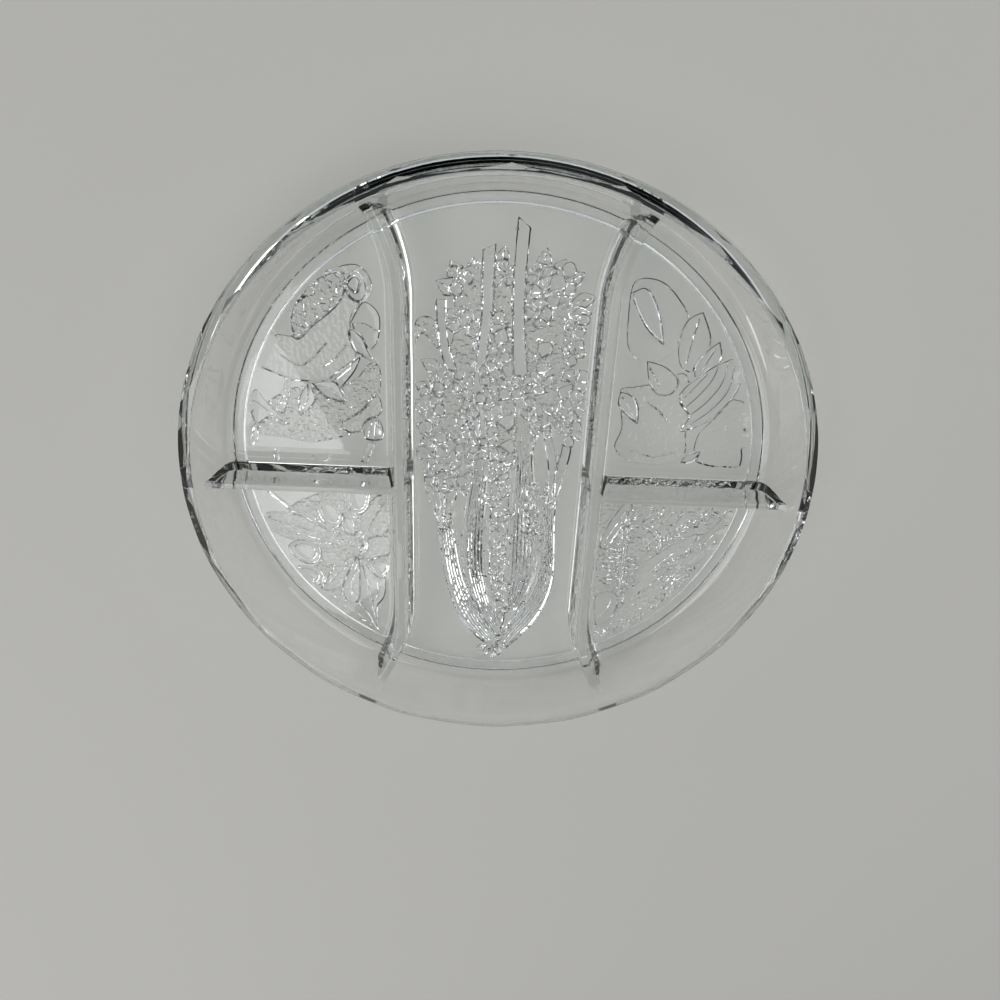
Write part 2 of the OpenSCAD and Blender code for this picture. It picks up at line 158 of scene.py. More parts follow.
class RelishTrayReliefs(bpy.types.PropertyGroup):
    """Depth and crispness of the vegetables under the floor"""
    depth: FloatProperty(
        name="Depth", description="Scales how far the vegetables stand under the floor",
        default=1.0, min=0.2, max=1.3)
    deepest: size("Deepest", "Furthest that any form stands under the floor", 2.3)
    edge: size("Edge width", "Width of the slope at the edge of each form", 0.65)
    groove: size("Groove width", "Width of the groove where one form lies on another", 0.65)
    rib_slope: FloatProperty(
        name="Rib slope", description="How steep the ribs along a stalk are",
        default=0.75, min=0.2, max=1.6)
    vein_half: size("Vein width", "Half the width of a vein cut into a leaf", 0.5)
    vein_depth: size("Vein depth", "Depth of those veins", 0.55)
    crumple: size("Crumple", "Height of the lumps in crumpled leaves", 0.9)
    crumple_pitch: size("Crumple pitch", "Distance between those lumps", 2.3)
    stipple: size("Stipple", "Height of the fine pebbles on stippled ground", 0.85)
    stipple_pitch: size("Stipple pitch", "Distance between those pebbles", 1.8)
    point_gap: size("Smallest step", "Closest that two mesh points may lie", 0.45)
    rough_gap: size("Rough step", "Mesh step where the forms are crumpled or stippled", 0.85)
    plain_gap: size("Plain step", "Mesh step where the forms are smooth", 2.2)


class RelishTrayGlass(bpy.types.PropertyGroup):
    """Colour and finish of the glass"""
    surface: colour("Surface colour", "Colour of light straight through the glass", "#FFFFFF")
    shade_colour: colour("Shade colour", "Share of a lamp's light that passes each surface", "#E0E3E1")
    depth_colour: colour("Depth colour", "Colour that thick glass turns to", "#B9C4BF")
    depth_density: FloatProperty(
        name="Depth density", description="How fast thick glass takes on its colour, per metre",
        default=9.0, min=0.0, max=100.0)
    ior: FloatProperty(name="IOR", description="Refraction of soda-lime glass", default=1.52)
    ripple: size("Ripple", "Height of the mould's slow ripple in the surface", 0.02)


class RelishTrayStage(bpy.types.PropertyGroup):
    """Floor, light and camera"""
    floor_colour: colour("Floor colour", "Plain pale floor", "#B8B6B2")
    room_colour: colour("Room colour", "Light from above", "#D8DCE0")
    backdrop_colour: colour("Backdrop colour", "Plain pale backdrop behind the floor", "#B8B6B2")
    gap_colour: colour("Gap colour", "Light from the dim gaps above the backdrop", "#303234")
    panel_colour: colour("Panel colour", "Light from the pale panels between them", "#9DA0A2")
    window_colour: colour("Window colour", "Light from the bright patches around the room", "#FFFFFF")
    room_strength: FloatProperty(
        name="Room light", description="Strength of the room's light", default=0.95)
    window_power: FloatProperty(
        name="Window power", description="Power of the soft window light", default=18.0, unit="POWER")
    fill_power: FloatProperty(
        name="Fill power", description="Power of the second light", default=6.5, unit="POWER")


# Modelling by hand

def deselect_all():
    """Leaves object mode with nothing selected."""
    if bpy.context.mode != "OBJECT":
        bpy.ops.object.mode_set(mode="OBJECT")
    bpy.ops.object.select_all(action="DESELECT")


def take(obj):
    """Makes one object the only selected one, and the active one."""
    deselect_all()
    obj.select_set(True)
    bpy.context.view_layer.objects.active = obj


def sheet_from_points(name, points, height_of):
    """A surface through points in plan, in millimetres, each at the height that height_of gives it."""
    flat = [Vector((float(x), float(y))) for x, y in points]
    verts, _, faces = delaunay_2d_cdt(flat, [], [], 0, 1e-6)[:3]
    plan = np.array([(v.x, v.y) for v in verts])
    heights = height_of(plan)
    mesh = bpy.data.meshes.new(name)
    solid = np.column_stack((plan, heights)) * MM
    mesh.from_pydata(solid.tolist(), [], faces)
    obj = bpy.data.objects.new(name, mesh)
    bpy.context.scene.collection.objects.link(obj)


def sort_faces(mesh):
    """Puts a mesh's faces in the order of their points, because a spin makes them in any order."""
    points = [vert.co.copy() for vert in mesh.vertices]
    faces = sorted((list(face.vertices) for face in mesh.polygons), key=sorted)
    mesh.clear_geometry()
    mesh.from_pydata(points, [], faces)


def ring_points(radius, count):
    """Points around a circle about the middle, in millimetres."""
    angles = np.arange(count) * 2 * math.pi / count
    return np.column_stack((np.cos(angles), np.sin(angles))) * radius


def lattice(radius, gap):
    """Points of a triangular lattice inside a circle, in millimetres."""
    rows = math.ceil(radius / (gap * math.sqrt(0.75)))
    columns = math.ceil(radius / gap) + 1
    row, column = np.mgrid[-rows:rows + 1, -columns:columns + 1]
    x = (column + (row % 2) / 2) * gap
    y = row * gap * math.sqrt(0.75)
    points = np.column_stack((x.ravel(), y.ravel()))
    return points[np.hypot(points[:, 0], points[:, 1]) < radius]


# The tray's section, in millimetres

# Steps of every circle around the tray, so that its surfaces meet point to point
STEPS_AROUND = 200
# Furthest that a rounded line strays from a true arc, and its longest straight step
ARC_STRAY = 0.01
LONGEST_STEP = 5.0
# The rim is joined to the wall this far below the top, and to the underside this far inside the foot
JOIN_DROP = 2.5
JOIN_INSET = 1.0


def touch_angle(point, centre, radius, side):
    """Direction from a point of the line that touches a circle on its left, 1, or right, -1."""
    reach = centre - point
    return math.atan2(reach[1], reach[0]) - side * math.asin(radius / np.hypot(*reach))


def rounded_line(corners):
    """A line through corners (x, y, radius) with each corner rounded to its radius."""
    line = []
    for i, (x, y, radius) in enumerate(corners):
        here = np.array((x, y))
        if radius == 0:
            line.append(here)
            continue
        before = np.array(corners[i - 1][:2]) - here
        after = np.array(corners[i + 1][:2]) - here
        before /= np.hypot(*before)
        after /= np.hypot(*after)
        half = math.acos(np.clip(before @ after, -1, 1)) / 2
        middle = (before + after) / np.hypot(*(before + after))
        centre = here + middle * radius / math.sin(half)
        start = here + before * radius / math.tan(half) - centre
        turn = math.pi - 2 * half
        if before[0] * after[1] - before[1] * after[0] > 0:
            turn = -turn
        count = math.ceil(abs(turn) / (2 * math.acos(1 - ARC_STRAY / radius)))
        for k in range(count + 1):
            c, s = math.cos(turn * k / count), math.sin(turn * k / count)
            line.append(centre + (c * start[0] - s * start[1], s * start[0] + c * start[1]))
    return np.array(line)


def section_of(t):
    """Points of the tray's half section that its parts are set out from."""
    s = SimpleNamespace()
    s.rim_out = t.diameter / 2
    s.rim = np.array((s.rim_out - t.rim_width, t.height))
    s.bead = np.array((s.rim_out - t.bead_radius, t.height - t.bead_radius))
    s.heel = np.array((t.floor_radius + t.heel_width, t.floor_underside))
    s.cove = np.array((t.floor_radius, t.floor_top + t.cove_radius))
    angle = touch_angle(s.rim, s.cove, t.cove_radius, -1)
    run = math.sqrt(((s.cove - s.rim) ** 2).sum() - t.cove_radius ** 2)
    s.wall_foot = s.rim + run * np.array((math.cos(angle), math.sin(angle)))
    s.join_z = t.height - JOIN_DROP
    share = (s.join_z - s.wall_foot[1]) / (s.rim[1] - s.wall_foot[1])
    s.join_r = s.wall_foot[0] + share * (s.rim[0] - s.wall_foot[0])
    s.under_r = t.foot_radius - t.foot_width - JOIN_INSET
    s.out_angle = touch_angle(s.heel, s.bead, t.bead_radius, 1)
    return s


def rim_section(t, s):
    """Open line of the section, from the inner wall over the rim and foot to the underside."""
    shoulder_x = s.heel[0] + (t.height - s.heel[1]) / math.tan(s.out_angle)
    inner_x = t.foot_radius - t.foot_width
    corners = [
        (s.join_r, s.join_z, 0),
        (*s.rim, t.lip_round),
        (shoulder_x, t.height, t.bead_radius),
        (*s.heel, t.heel_round),
        (t.foot_radius, t.floor_underside, t.foot_round),
        (t.foot_radius - t.foot_draft, 0, t.foot_round),
        (inner_x + t.foot_draft, 0, t.foot_round),
        (inner_x, t.floor_underside, t.foot_round),
        (s.under_r, t.floor_underside, 0),
    ]
    line = rounded_line(corners)
    wall = [line[-1]]
    for point in line[-2::-1]:
        gap = point - wall[-1]
        pieces = math.ceil(np.hypot(*gap) / LONGEST_STEP)
        start = wall[-1]
        wall += [start + gap * k / pieces for k in range(1, pieces + 1)]
    return np.array(wall[::-1])


class RELISH_OT_press_rim(bpy.types.Operator):
    """Spins the rim, outer wall and foot, and presses the panels into the shoulder"""
    bl_idname = "relish.press_rim"
    bl_label = "Press Rim And Foot"

    def execute(self, context):
        t = in_mm(context.scene.relish_body)
        s = section_of(t)
        line = rim_section(t, s)
        steps = STEPS_AROUND // t.panel_count
        if steps * t.panel_count != STEPS_AROUND:
            raise RuntimeError("the panel count doesn't divide the steps around the rim")
        deselect_all()
        bpy.ops.mesh.primitive_circle_add(vertices=len(line), radius=t.height * MM)
        obj = context.active_object
        obj.name = obj.data.name = "rim_wall_foot"
        for vert, (x, z) in zip(obj.data.vertices, line):
            vert.co = (x * MM, 0, z * MM)
        self.open_line(obj, len(line))
        bpy.ops.object.mode_set(mode="EDIT")
        bpy.ops.mesh.select_all(action="SELECT")
        sector = 2 * math.pi / t.panel_count
        bpy.ops.mesh.spin(steps=steps, angle=-sector, center=(0, 0, 0), axis=(0, 0, 1))
        bpy.ops.object.mode_set(mode="OBJECT")
        sort_faces(obj.data)
        bpy.ops.object.mode_set(mode="EDIT")
        self.press_panel(obj, t, s, sector / 2)
        bpy.ops.mesh.select_all(action="SELECT")
        bpy.ops.mesh.spin(
            steps=t.panel_count - 1, dupli=True, angle=sector * (t.panel_count - 1),
            center=(0, 0, 0), axis=(0, 0, 1))
        bpy.ops.mesh.select_all(action="SELECT")
        bpy.ops.mesh.remove_doubles(threshold=WELD_GAP * MM)
        bpy.ops.object.mode_set(mode="OBJECT")
        return {"FINISHED"}

    def open_line(self, obj, count):
        """Deletes the circle's last edge, so that the section is an open line."""
        take(obj)
        bpy.ops.object.mode_set(mode="EDIT")
        bpy.ops.mesh.select_mode(type="EDGE")
        bpy.ops.mesh.select_all(action="DESELECT")
        bpy.ops.object.mode_set(mode="OBJECT")
        for edge in obj.data.edges:
            edge.select = set(edge.vertices) == {0, count - 1}
        bpy.ops.object.mode_set(mode="EDIT")
        bpy.ops.mesh.delete(type="EDGE")
        bpy.ops.object.mode_set(mode="OBJECT")

    def press_panel(self, obj, t, s, azimuth):
        """Cuts the panel's outline into the shoulder and flattens what stands proud of it."""
        out = Vector((math.cos(azimuth), math.sin(azimuth), 0))
        normal = out * math.cos(t.panel_lean) + Vector((0, 0, math.sin(t.panel_lean)))
        centre = (out * s.bead[0] + Vector((0, 0, s.bead[1]))) * MM
        place = centre + normal * (t.bead_radius - t.panel_depth) * MM
        tiny = 1e-7
        bpy.ops.mesh.select_all(action="SELECT")
        bpy.ops.mesh.bisect(plane_co=place, plane_no=normal, use_fill=False, threshold=tiny)
        bpy.ops.object.mode_set(mode="OBJECT")
        proud = set()
        for vert in obj.data.vertices:
            over = (vert.co - place).dot(normal)
            if over > -tiny:
                proud.add(vert.index)
                way = Vector((vert.co.x, vert.co.y, 0)).normalized() * math.cos(t.panel_lean)
                way.z = math.sin(t.panel_lean)
                vert.co -= way * over / way.dot(normal)
        inner = [all(i in proud for i in f.vertices) for f in obj.data.polygons]
        face_count = {}
        for face, is_inner in zip(obj.data.polygons, inner):
            if is_inner:
                for key in face.edge_keys:
                    face_count[key] = face_count.get(key, 0) + 1
        for edge in obj.data.edges:
            edge.use_edge_sharp = face_count.get(edge.key, 0) == 1
        bpy.ops.object.mode_set(mode="EDIT")


# The food side, in millimetres

# Mesh steps across a long divider from its middle, closer together where its section turns
LONG_STEPS = (
    0, 1.0, 1.15, 1.5, 1.8, 2.05, 2.25, 2.55, 2.9, 3.25, 3.6, 3.95, 4.3, 4.65, 5.0, 5.35, 5.7, 6.05,
    6.45, 6.85, 7.3, 7.87, 8.6,
)
# Mesh steps along a divider, on its plain stretch and where it meets the wall
PLAIN_STEP = 4.5
END_STEP = 1.4
# The last stretch before the cove, which has the closer steps
COVE_STRETCH = 8
# Points of other rows keep this far from the dividers' rows, and those this far from the rim's join
ROW_GUARD = 1.5
JOIN_GUARD = 0.6
# Width over which two dividers blend where they meet
BLEND = 2.5
# How tightly a divider and the wall round into each other
CORNER_POWER = 6


def wall_height(r, t, s):
    """Height of the cove and inner wall above the floor at a radius."""
    in_cove = np.clip(r - t.floor_radius, 0, s.wall_foot[0] - t.floor_radius)
    cove = t.cove_radius - np.sqrt(t.cove_radius ** 2 - in_cove ** 2)
    slope = (s.rim[1] - s.wall_foot[1]) / (s.rim[0] - s.wall_foot[0])
    return cove + slope * np.clip(r - s.wall_foot[0], 0, None)


def ridge_height(side, d):
    """Height of a divider at a distance from its middle, past half its top width."""
    top, fillet = d.round_radius, d.foot_fillet
    run = (d.long_base - d.long_top) / 2
    lean = math.atan2(d.height, run)
    cut = math.tan(lean / 2)
    round_start = -top * cut
    round_end = round_start + top * math.sin(lean)
    fillet_end = run + fillet * cut
    fillet_start = fillet_end - fillet * math.sin(lean)
    height = np.full_like(side, d.height)
    on_round = (side > round_start) & (side <= round_end)
    height[on_round] = d.height - top + np.sqrt(
        np.clip(top ** 2 - (side[on_round] - round_start) ** 2, 0, None))
    on_side = (side > round_end) & (side <= fillet_start)
    height[on_side] = d.height * (1 - side[on_side] / run)
    height[on_side] += d.flute * np.sin(2 * math.pi * side[on_side] / d.flute_pitch)
    on_fillet = (side > fillet_start) & (side <= fillet_end)
    height[on_fillet] = fillet - np.sqrt(
        np.clip(fillet ** 2 - (fillet_end - side[on_fillet]) ** 2, 0, None))
    height[side > fillet_end] = 0
    return height


def divider_distances(plan, d):
    """Distance of each point from the middle line of the long and of the cross dividers."""
    x, y = np.abs(plan[:, 0]), np.abs(plan[:, 1])
    over = y - d.straight / 2
    turn_x = d.long_x + d.bend_radius
    bent = np.abs(np.hypot(turn_x - x, np.clip(over, 0, None)) - d.bend_radius)
    long_way = np.where(over > 0, bent, np.abs(x - d.long_x))
    cross_way = np.hypot(np.clip(d.long_x - x, 0, None), plan[:, 1] - d.cross_y)
    return long_way, cross_way


def cross_scale(d):
    """How much steeper a cross divider's side is than a long one's."""
    return (d.long_base - d.long_top) / (d.cross_base - d.cross_top)


def food_side_height(plan, t, s, d):
    """Height of the surface that food lies on: floor, cove, wall and dividers in one."""
    long_way, cross_way = divider_distances(plan, d)
    long_side = long_way - d.long_top / 2
    cross_side = cross_way - d.cross_top / 2
    cross_side = np.where(cross_side > 0, cross_side * cross_scale(d), cross_side)
    mix = np.clip(0.5 + (cross_side - long_side) / (2 * BLEND), 0, 1)
    side = cross_side * (1 - mix) + long_side * mix - BLEND * mix * (1 - mix)
    wall = wall_height(np.hypot(plan[:, 0], plan[:, 1]), t, s)
    # A divider fades into the wall, and is gone 1 mm below the rim's join
    gone = s.join_z - t.floor_top - 1
    ridge = ridge_height(side, d) * np.clip((gone - wall) / (gone - d.height), 0, 1)
    return t.floor_top + (wall ** CORNER_POWER + ridge ** CORNER_POWER) ** (1 / CORNER_POWER)


def divider_points(t, s, d):
    """Mesh points in rows along the dividers, close together where the section turns."""
    offsets = np.array([-w for w in LONG_STEPS[:0:-1]] + list(LONG_STEPS))
    half_top = d.cross_top / 2
    cross_rows = offsets - np.sign(offsets) * d.long_top / 2
    cross_rows = np.where(
        np.abs(offsets) > d.long_top / 2,
        np.sign(offsets) * (half_top + np.abs(cross_rows) / cross_scale(d)),
        offsets * half_top / (d.long_top / 2))
    half = d.straight / 2
    beside = np.abs(cross_rows).max() + 1
    below = np.linspace(-half, d.cross_y - beside, round(half / PLAIN_STEP))
    above = np.linspace(d.cross_y + beside, half, round(half / PLAIN_STEP))
    ys = np.concatenate((below, d.cross_y + cross_rows, above))
    straight = np.array([(d.long_x + o, y) for y in ys for o in offsets])
    # An eighth of a turn takes a bend past the wall, and what lies beyond it is left out below
    turns = np.arange(1, math.radians(45) * d.bend_radius / END_STEP) * END_STEP / d.bend_radius
    bent = np.array([
        (d.long_x + d.bend_radius - (d.bend_radius - o) * math.cos(a),
         half + (d.bend_radius - o) * math.sin(a))
        for a in turns for o in offsets])
    near_cove = t.floor_radius - COVE_STRETCH
    xs = np.concatenate((
        np.arange(d.long_x + offsets.max() + 1, near_cove, PLAIN_STEP),
        np.arange(near_cove, s.join_r, END_STEP)))
    cross = np.array([(x, d.cross_y + o) for x in xs for o in cross_rows])
    right = np.concatenate((straight, bent, bent * (1, -1), cross))
    points = np.concatenate((right, right * (-1, 1)))
    return points[np.hypot(points[:, 0], points[:, 1]) < s.join_r - JOIN_GUARD]


class RELISH_OT_press_places(bpy.types.Operator):
    """Presses the floor, cove, wall and dividers as one surface"""
    bl_idname = "relish.press_places"
    bl_label = "Press Floor And Dividers"

    def execute(self, context):
        t = in_mm(context.scene.relish_body)
        d = in_mm(context.scene.relish_dividers)
        s = section_of(t)
        rows = divider_points(t, s, d)
        # Two rings on the floor, nine up the cove, four up the wall, and a wide lattice inside them
        cove_turns = np.arcsin((s.wall_foot[0] - t.floor_radius) / t.cove_radius) * np.arange(9) / 8
        radii = [t.floor_radius - 8.5, t.floor_radius - 4]
        radii += list(t.floor_radius + t.cove_radius * np.sin(cove_turns))
        radii += list(np.linspace(s.wall_foot[0], s.join_r, 6)[1:-1])
        plain = np.concatenate(
            [ring_points(r, STEPS_AROUND) for r in radii] + [lattice(t.floor_radius - 14, 10)])
        long_way, cross_way = divider_distances(plain, d)
        reach = max(LONG_STEPS) + ROW_GUARD
        plain = plain[(long_way > reach) & (cross_way > reach)]
        loop = ring_points(s.join_r, STEPS_AROUND)
        points = np.concatenate((loop, rows, plain))
        deselect_all()
        sheet_from_points("floor_and_dividers", points, lambda plan: food_side_height(plan, t, s, d))
        return {"FINISHED"}


# The vegetables in relief, in millimetres

# Ribs fade out where they are narrower than this, over this much more width
NARROWEST_RIB = 0.7
RIB_FADE = 0.5
# Mesh rows further than this past the edge slope of a form on top of theirs are left out
HIDDEN_MARGIN = 0.1
# Share of a pebble's height that lies below the level of its ground
PEBBLE_LEVEL = 0.55
# Share of the lower form's height that the groove around an upper form takes away
GROOVE_SHARE = 0.75


def smooth_curve(points, closed=False, step=0.9):
    """Smooth curve through points, at even steps. A point given twice keeps a corner there."""
    dense_step = 0.3
    p = np.array(points, float)
    if closed:
        p = np.concatenate((p[-1:], p, p[:2]))
    else:
        p = np.concatenate((p[:1] * 2 - p[1:2], p, p[-1:] * 2 - p[-2:-1]))
    dense = []
    for a, b, c, e in zip(p, p[1:], p[2:], p[3:]):
        gap = np.hypot(*(c - b)[:2])
        if gap < 1e-6:
            continue
        count = max(2, math.ceil(gap / dense_step))
        k = (np.arange(count) / count)[:, None]
        dense.append(0.5 * (2 * b + (c - a) * k + (2 * a - 5 * b + 4 * c - e) * k ** 2
                            + (3 * b - a - 3 * c + e) * k ** 3))
    dense.append(p[-2:-1])
    dense = np.concatenate(dense)
    way = np.concatenate(([0], np.cumsum(np.hypot(*np.diff(dense[:, :2], axis=0).T))))
    count = max(3, round(way[-1] / step))
    even = np.linspace(0, way[-1], count + 1)
    even = even[:-1] if closed else even
    return np.column_stack([np.interp(even, way, column) for column in dense.T])


def normals_of(line, closed):
    """Unit vectors to the left of a line at each of its points."""
    if closed:
        along = np.roll(line, -1, axis=0) - np.roll(line, 1, axis=0)
    else:
        along = np.gradient(line, axis=0)
    length = np.maximum(np.hypot(along[:, 0], along[:, 1]), 1e-9)
    return np.column_stack((-along[:, 1], along[:, 0])) / length[:, None]


def nearest_on(line, points, closed):
    """Distance of each point from a line, with the step and side where it is nearest."""
    a = line
    b = np.roll(line, -1, axis=0)
    if not closed:
        a, b = a[:-1], b[:-1]
    best = np.full(len(points), np.inf)
    step = np.zeros(len(points))
    side = np.zeros(len(points))
    for i, (start, end) in enumerate(zip(a, b)):
        along = end - start
        rel = points - start
        share = np.clip(rel @ along / max(along @ along, 1e-12), 0, 1)
        off = rel - share[:, None] * along
        gap = np.hypot(off[:, 0], off[:, 1])
        closer = gap < best
        best[closer] = gap[closer]
        step[closer] = i + share[closer]
        side[closer] = np.sign(along[0] * rel[closer, 1] - along[1] * rel[closer, 0])
    return best, step, side


def inside(line, points):
    """Whether each point lies within a closed line."""
    x, y = points[:, 0], points[:, 1]
    odd = np.zeros(len(points), bool)
    for (x0, y0), (x1, y1) in zip(line, np.roll(line, -1, axis=0)):
        if y0 == y1:
            continue
        crosses = (y0 > y) != (y1 > y)
        odd ^= crosses & (x < (x1 - x0) * (y - y0) / (y1 - y0) + x0)
    return odd


class Form:
    """One raised form: a closed outline with a height, a dome, veins, ribs and roughness inside it."""

    def __init__(self, outline, height, dome=0.0, crumple=0.0, stipple=0.0, veins=()):
        self.outline = outline
        self.height = height
        self.dome = dome
        self.crumple = crumple
        self.stipple = stipple
        self.veins = [smooth_curve(vein, step=1.2) for vein in veins]
        self.ribs = 0
        self.low = outline.min(axis=0)
        self.high = outline.max(axis=0)
        # Distance over which the dome rises from the edge
        self.half = max(nearest_on(outline, outline.mean(axis=0)[None], True)[0][0], 1.5)

    def rib(self, ribs, spine, widths):
        """Gives a stalk ribs along its spine, which has a width at each point."""
        self.ribs = ribs
        self.spine = spine
        self.widths = widths
        return self

    def near(self, points, margin):
        """Indexes of the points in or close to the form."""
        hit = ((points > self.low - margin) & (points < self.high + margin)).all(axis=1)
        return np.nonzero(hit)[0]

    def depth_in(self, points):
        """How far each point lies inside the outline, negative outside it."""
        gap = nearest_on(self.outline, points, True)[0]
        return np.where(inside(self.outline, points), gap, -gap)

    def rib_wave(self, points, slope):
        """Height of the ribs at each point, of one slope, and none where the stalk is too narrow."""
        gap, step, side = nearest_on(self.spine, points, False)
        half = np.maximum(np.interp(step, np.arange(len(self.widths)), self.widths) / 2, 0.5)
        share = np.clip(side * gap / half, -1, 1)
        pitch = 2 * half / self.ribs
        wave = -slope * pitch / 4 * np.cos(math.pi * self.ribs * (share + 1))
        return wave * soft_step((pitch - NARROWEST_RIB) / RIB_FADE)

    def mesh_points(self, r):
        """Points along the outline, veins and ribs, where the mesh has to be fine."""
        normal = normals_of(self.outline, True)
        ahead = np.roll(self.outline, -1, axis=0)
        turn = (self.outline[:, 0] * ahead[:, 1] - self.outline[:, 1] * ahead[:, 0]).sum()
        inward = normal * np.sign(turn)
        rows = [self.outline, self.outline + inward * r.edge, self.outline - inward * r.groove]
        for vein in self.veins:
            side = normals_of(vein, False) * r.vein_half
            rows += [vein, vein + side, vein - side]
        if self.ribs:
            side = normals_of(self.spine, False)
            for k in range(1, 2 * self.ribs):
                share = k / self.ribs - 1
                rows.append(self.spine + side * (share * self.widths / 2)[:, None])
        return np.concatenate(rows)


def soft_step(share):
    """Smooth rise from 0 to 1."""
    share = np.clip(share, 0, 1)
    return share * share * (3 - 2 * share)


def stalk(points, height, ribs=0, slant=0.0):
    """A band with a width at each point (x, y, width), its far end cut at a slant."""
    line = smooth_curve(points, step=1.4)
    spine, widths = line[:, :2], line[:, 2]
    side = normals_of(spine, False) * (widths / 2)[:, None]
    left, right = spine + side, spine - side
    end = (spine[-1] - spine[-2]) / np.hypot(*(spine[-1] - spine[-2]))
    left[-1] += end * slant / 2
    right[-1] -= end * slant / 2
    outline = np.concatenate((left, right[::-1]))
    outline = np.concatenate([
        np.linspace(a, b, max(1, round(np.hypot(*(b - a)))), endpoint=False)
        for a, b in zip(outline, np.roll(outline, -1, axis=0))])
    return Form(outline, height, dome=0.25).rib(ribs, spine, widths)


def leaf(base, tip, width, height, bow=0.0, belly=0.5, dome=0.35, vein=True, blunt=False, crumple=0.0):
    """A leaf from base to tip, bowed to the left by a share of its length, with a vein along it."""
    base, tip = np.array(base, float), np.array(tip, float)
    along = tip - base
    left = np.array((-along[1], along[0]))
    mid = base + along * belly + left * bow
    half = left / np.hypot(*along) * width / 2
    ends = [tip] if blunt else [tip, tip]
    outline = smooth_curve([base, base, mid + half, *ends, mid - half], closed=True)
    veins = [(base + along * 0.12, mid, base + along * 0.85)] if vein else ()
    return Form(outline, height, dome, crumple=crumple, veins=veins)


def blob(points, height, dome=0.4, stipple=0.0, crumple=0.0, veins=()):
    """A form through the points given, with a corner where a point is given twice."""
    return Form(smooth_curve(points, closed=True), height, dome, crumple, stipple, veins)


def olive(*points):
    """An olive with the ring around its flank, two thirds of the way out to its edge."""
    middle = np.mean(points, axis=0)
    ring = middle + (np.array(points) - middle) * 0.68
    return blob(points, 1.35, 0.8, veins=[np.concatenate((ring, ring[:1]))])


def cluster(x, y, turn, reach, count, height=1.25):
    """A celery leaf: rounded, crumpled lobes around a small middle."""
    forms = []
    for k in range(count):
        angle = math.radians(turn + k * 360 / count + 14 * math.sin(3 * x + 5 * k))
        way = np.array((math.cos(angle), math.sin(angle)))
        here = np.array((x, y))
        long = reach * (0.9 + 0.2 * math.sin(2 * y + 4 * k))
        forms.append(leaf(
            here + way * 0.7, here + way * long, reach * (0.95 - 0.05 * count),
            height + 0.12 * math.sin(x + y + 2 * k),
            0.08 * math.sin(y + k), 0.62, 0.4, vein=k % 2 == 1, blunt=k % 3 == 0, crumple=0.35))
    return forms


def blades(points, reach, lean, gap, height, sides=(-1, 1)):
    """Short blades, like a comb's or a fern's, that leave a curved line on the sides asked for."""
    line = smooth_curve(points, step=gap)
    left = normals_of(line, False)
    forms = []
    for here, out in zip(line, left):
        ahead = np.array((out[1], -out[0]))
        for side in sides:
            way = out * side * math.cos(lean) + ahead * math.sin(lean)
            forms.append(leaf(
                here + way * 0.4, here + way * reach, 1.7, height, -0.1 * side, 0.5, 0.2, vein=False))
    return forms


# Stalks as points (x, y, width), a height and a number of ribs
CELERY_OUTER = (
    # Outer pair, ribbed, from the root up to where each one forks
    (((4, -121, 6), (-3, -113, 10), (-10.5, -103, 12), (-16, -91, 12.5), (-22, -71, 11.5), (-26.5, -43, 10),
      (-29.5, -27, 8), (-31, -18, 3)), 1.2, 7),
    (((6, -122, 6), (12, -112, 10), (20.5, -99, 12), (27, -84, 11), (30, -66, 9.5), (29, -37, 8.5),
      (29.5, -15, 8), (31.5, -2, 6.5), (32, 6, 2.5)), 1.2, 7),
    # Their forks
    (((-29, -42, 1.2), (-33.5, -24, 5.5), (-37, -8, 5.2), (-37.3, 18, 5)), 1.4, 3),
    (((-27, -42, 1.2), (-25, -22, 4.8), (-19, -8, 5)), 1.4, 2),
    (((31.5, -24, 1.2), (33.5, -4, 5), (35.5, 8, 5.2), (36.2, 24, 4.6), (34.5, 42, 4.3), (32.5, 60, 4.3),
      (30, 78, 4.6), (28.5, 99, 5)), 1.6, 0),
    (((28.5, -24, 1.2), (29, -2, 4.6), (25.5, 15, 5), (21.5, 34, 4.5)), 1.5, 0),
)
# The same, with the slant of the cut end
CELERY_INNER = (
    # Two long stalks from near the root to their cut tops, and a stub that leaves the left one
    (((6, -113, 5), (0.5, -103, 8), (-5, -91, 9.5), (-10, -71, 11.5), (-11.5, -50, 13), (-11, -30, 12),
      (-9, -6, 9), (-8.8, 8, 7.5), (-10.5, 22, 6.5), (-12, 38, 6), (-10.5, 58, 5.4), (-8.5, 80, 5.6),
      (-8.5, 97, 6), (-8.5, 113, 6.6)), 1.5, 7, -3),
    (((6.5, -112, 1.2), (8.5, -105, 4), (11.5, -95, 8), (14.5, -82, 12.5), (16.5, -65, 16), (16, -38, 15.5),
      (14.5, -4, 11), (12.5, 22, 9), (10.5, 42, 7.8), (8, 64, 6.8), (7, 80, 6.2), (6.5, 98, 6.2),
      (7, 113, 6.5), (7.5, 125, 6.5)), 1.6, 8, 5),
    (((-9.5, 8, 1.2), (-15, 31, 5), (-21, 42, 5.2), (-26, 53, 5.2), (-29, 63, 5), (-30.5, 75, 5),
      (-31, 87, 5.4)), 1.5, 0, 0),
)
# Outline of the crumpled ground behind the leaves
CELERY_GROUND = (
    (-22, 101), (-8, 106), (4, 104), (20, 105), (28, 99), (31, 86), (34, 68), (36, 46), (36, 22),
    (31, 18), (24, 24), (16, 4), (2, -7), (-14, -10), (-29, -18), (-35, -8), (-38, 18), (-36, 42),
    (-29, 56), (-24, 74), (-25, 90),
)
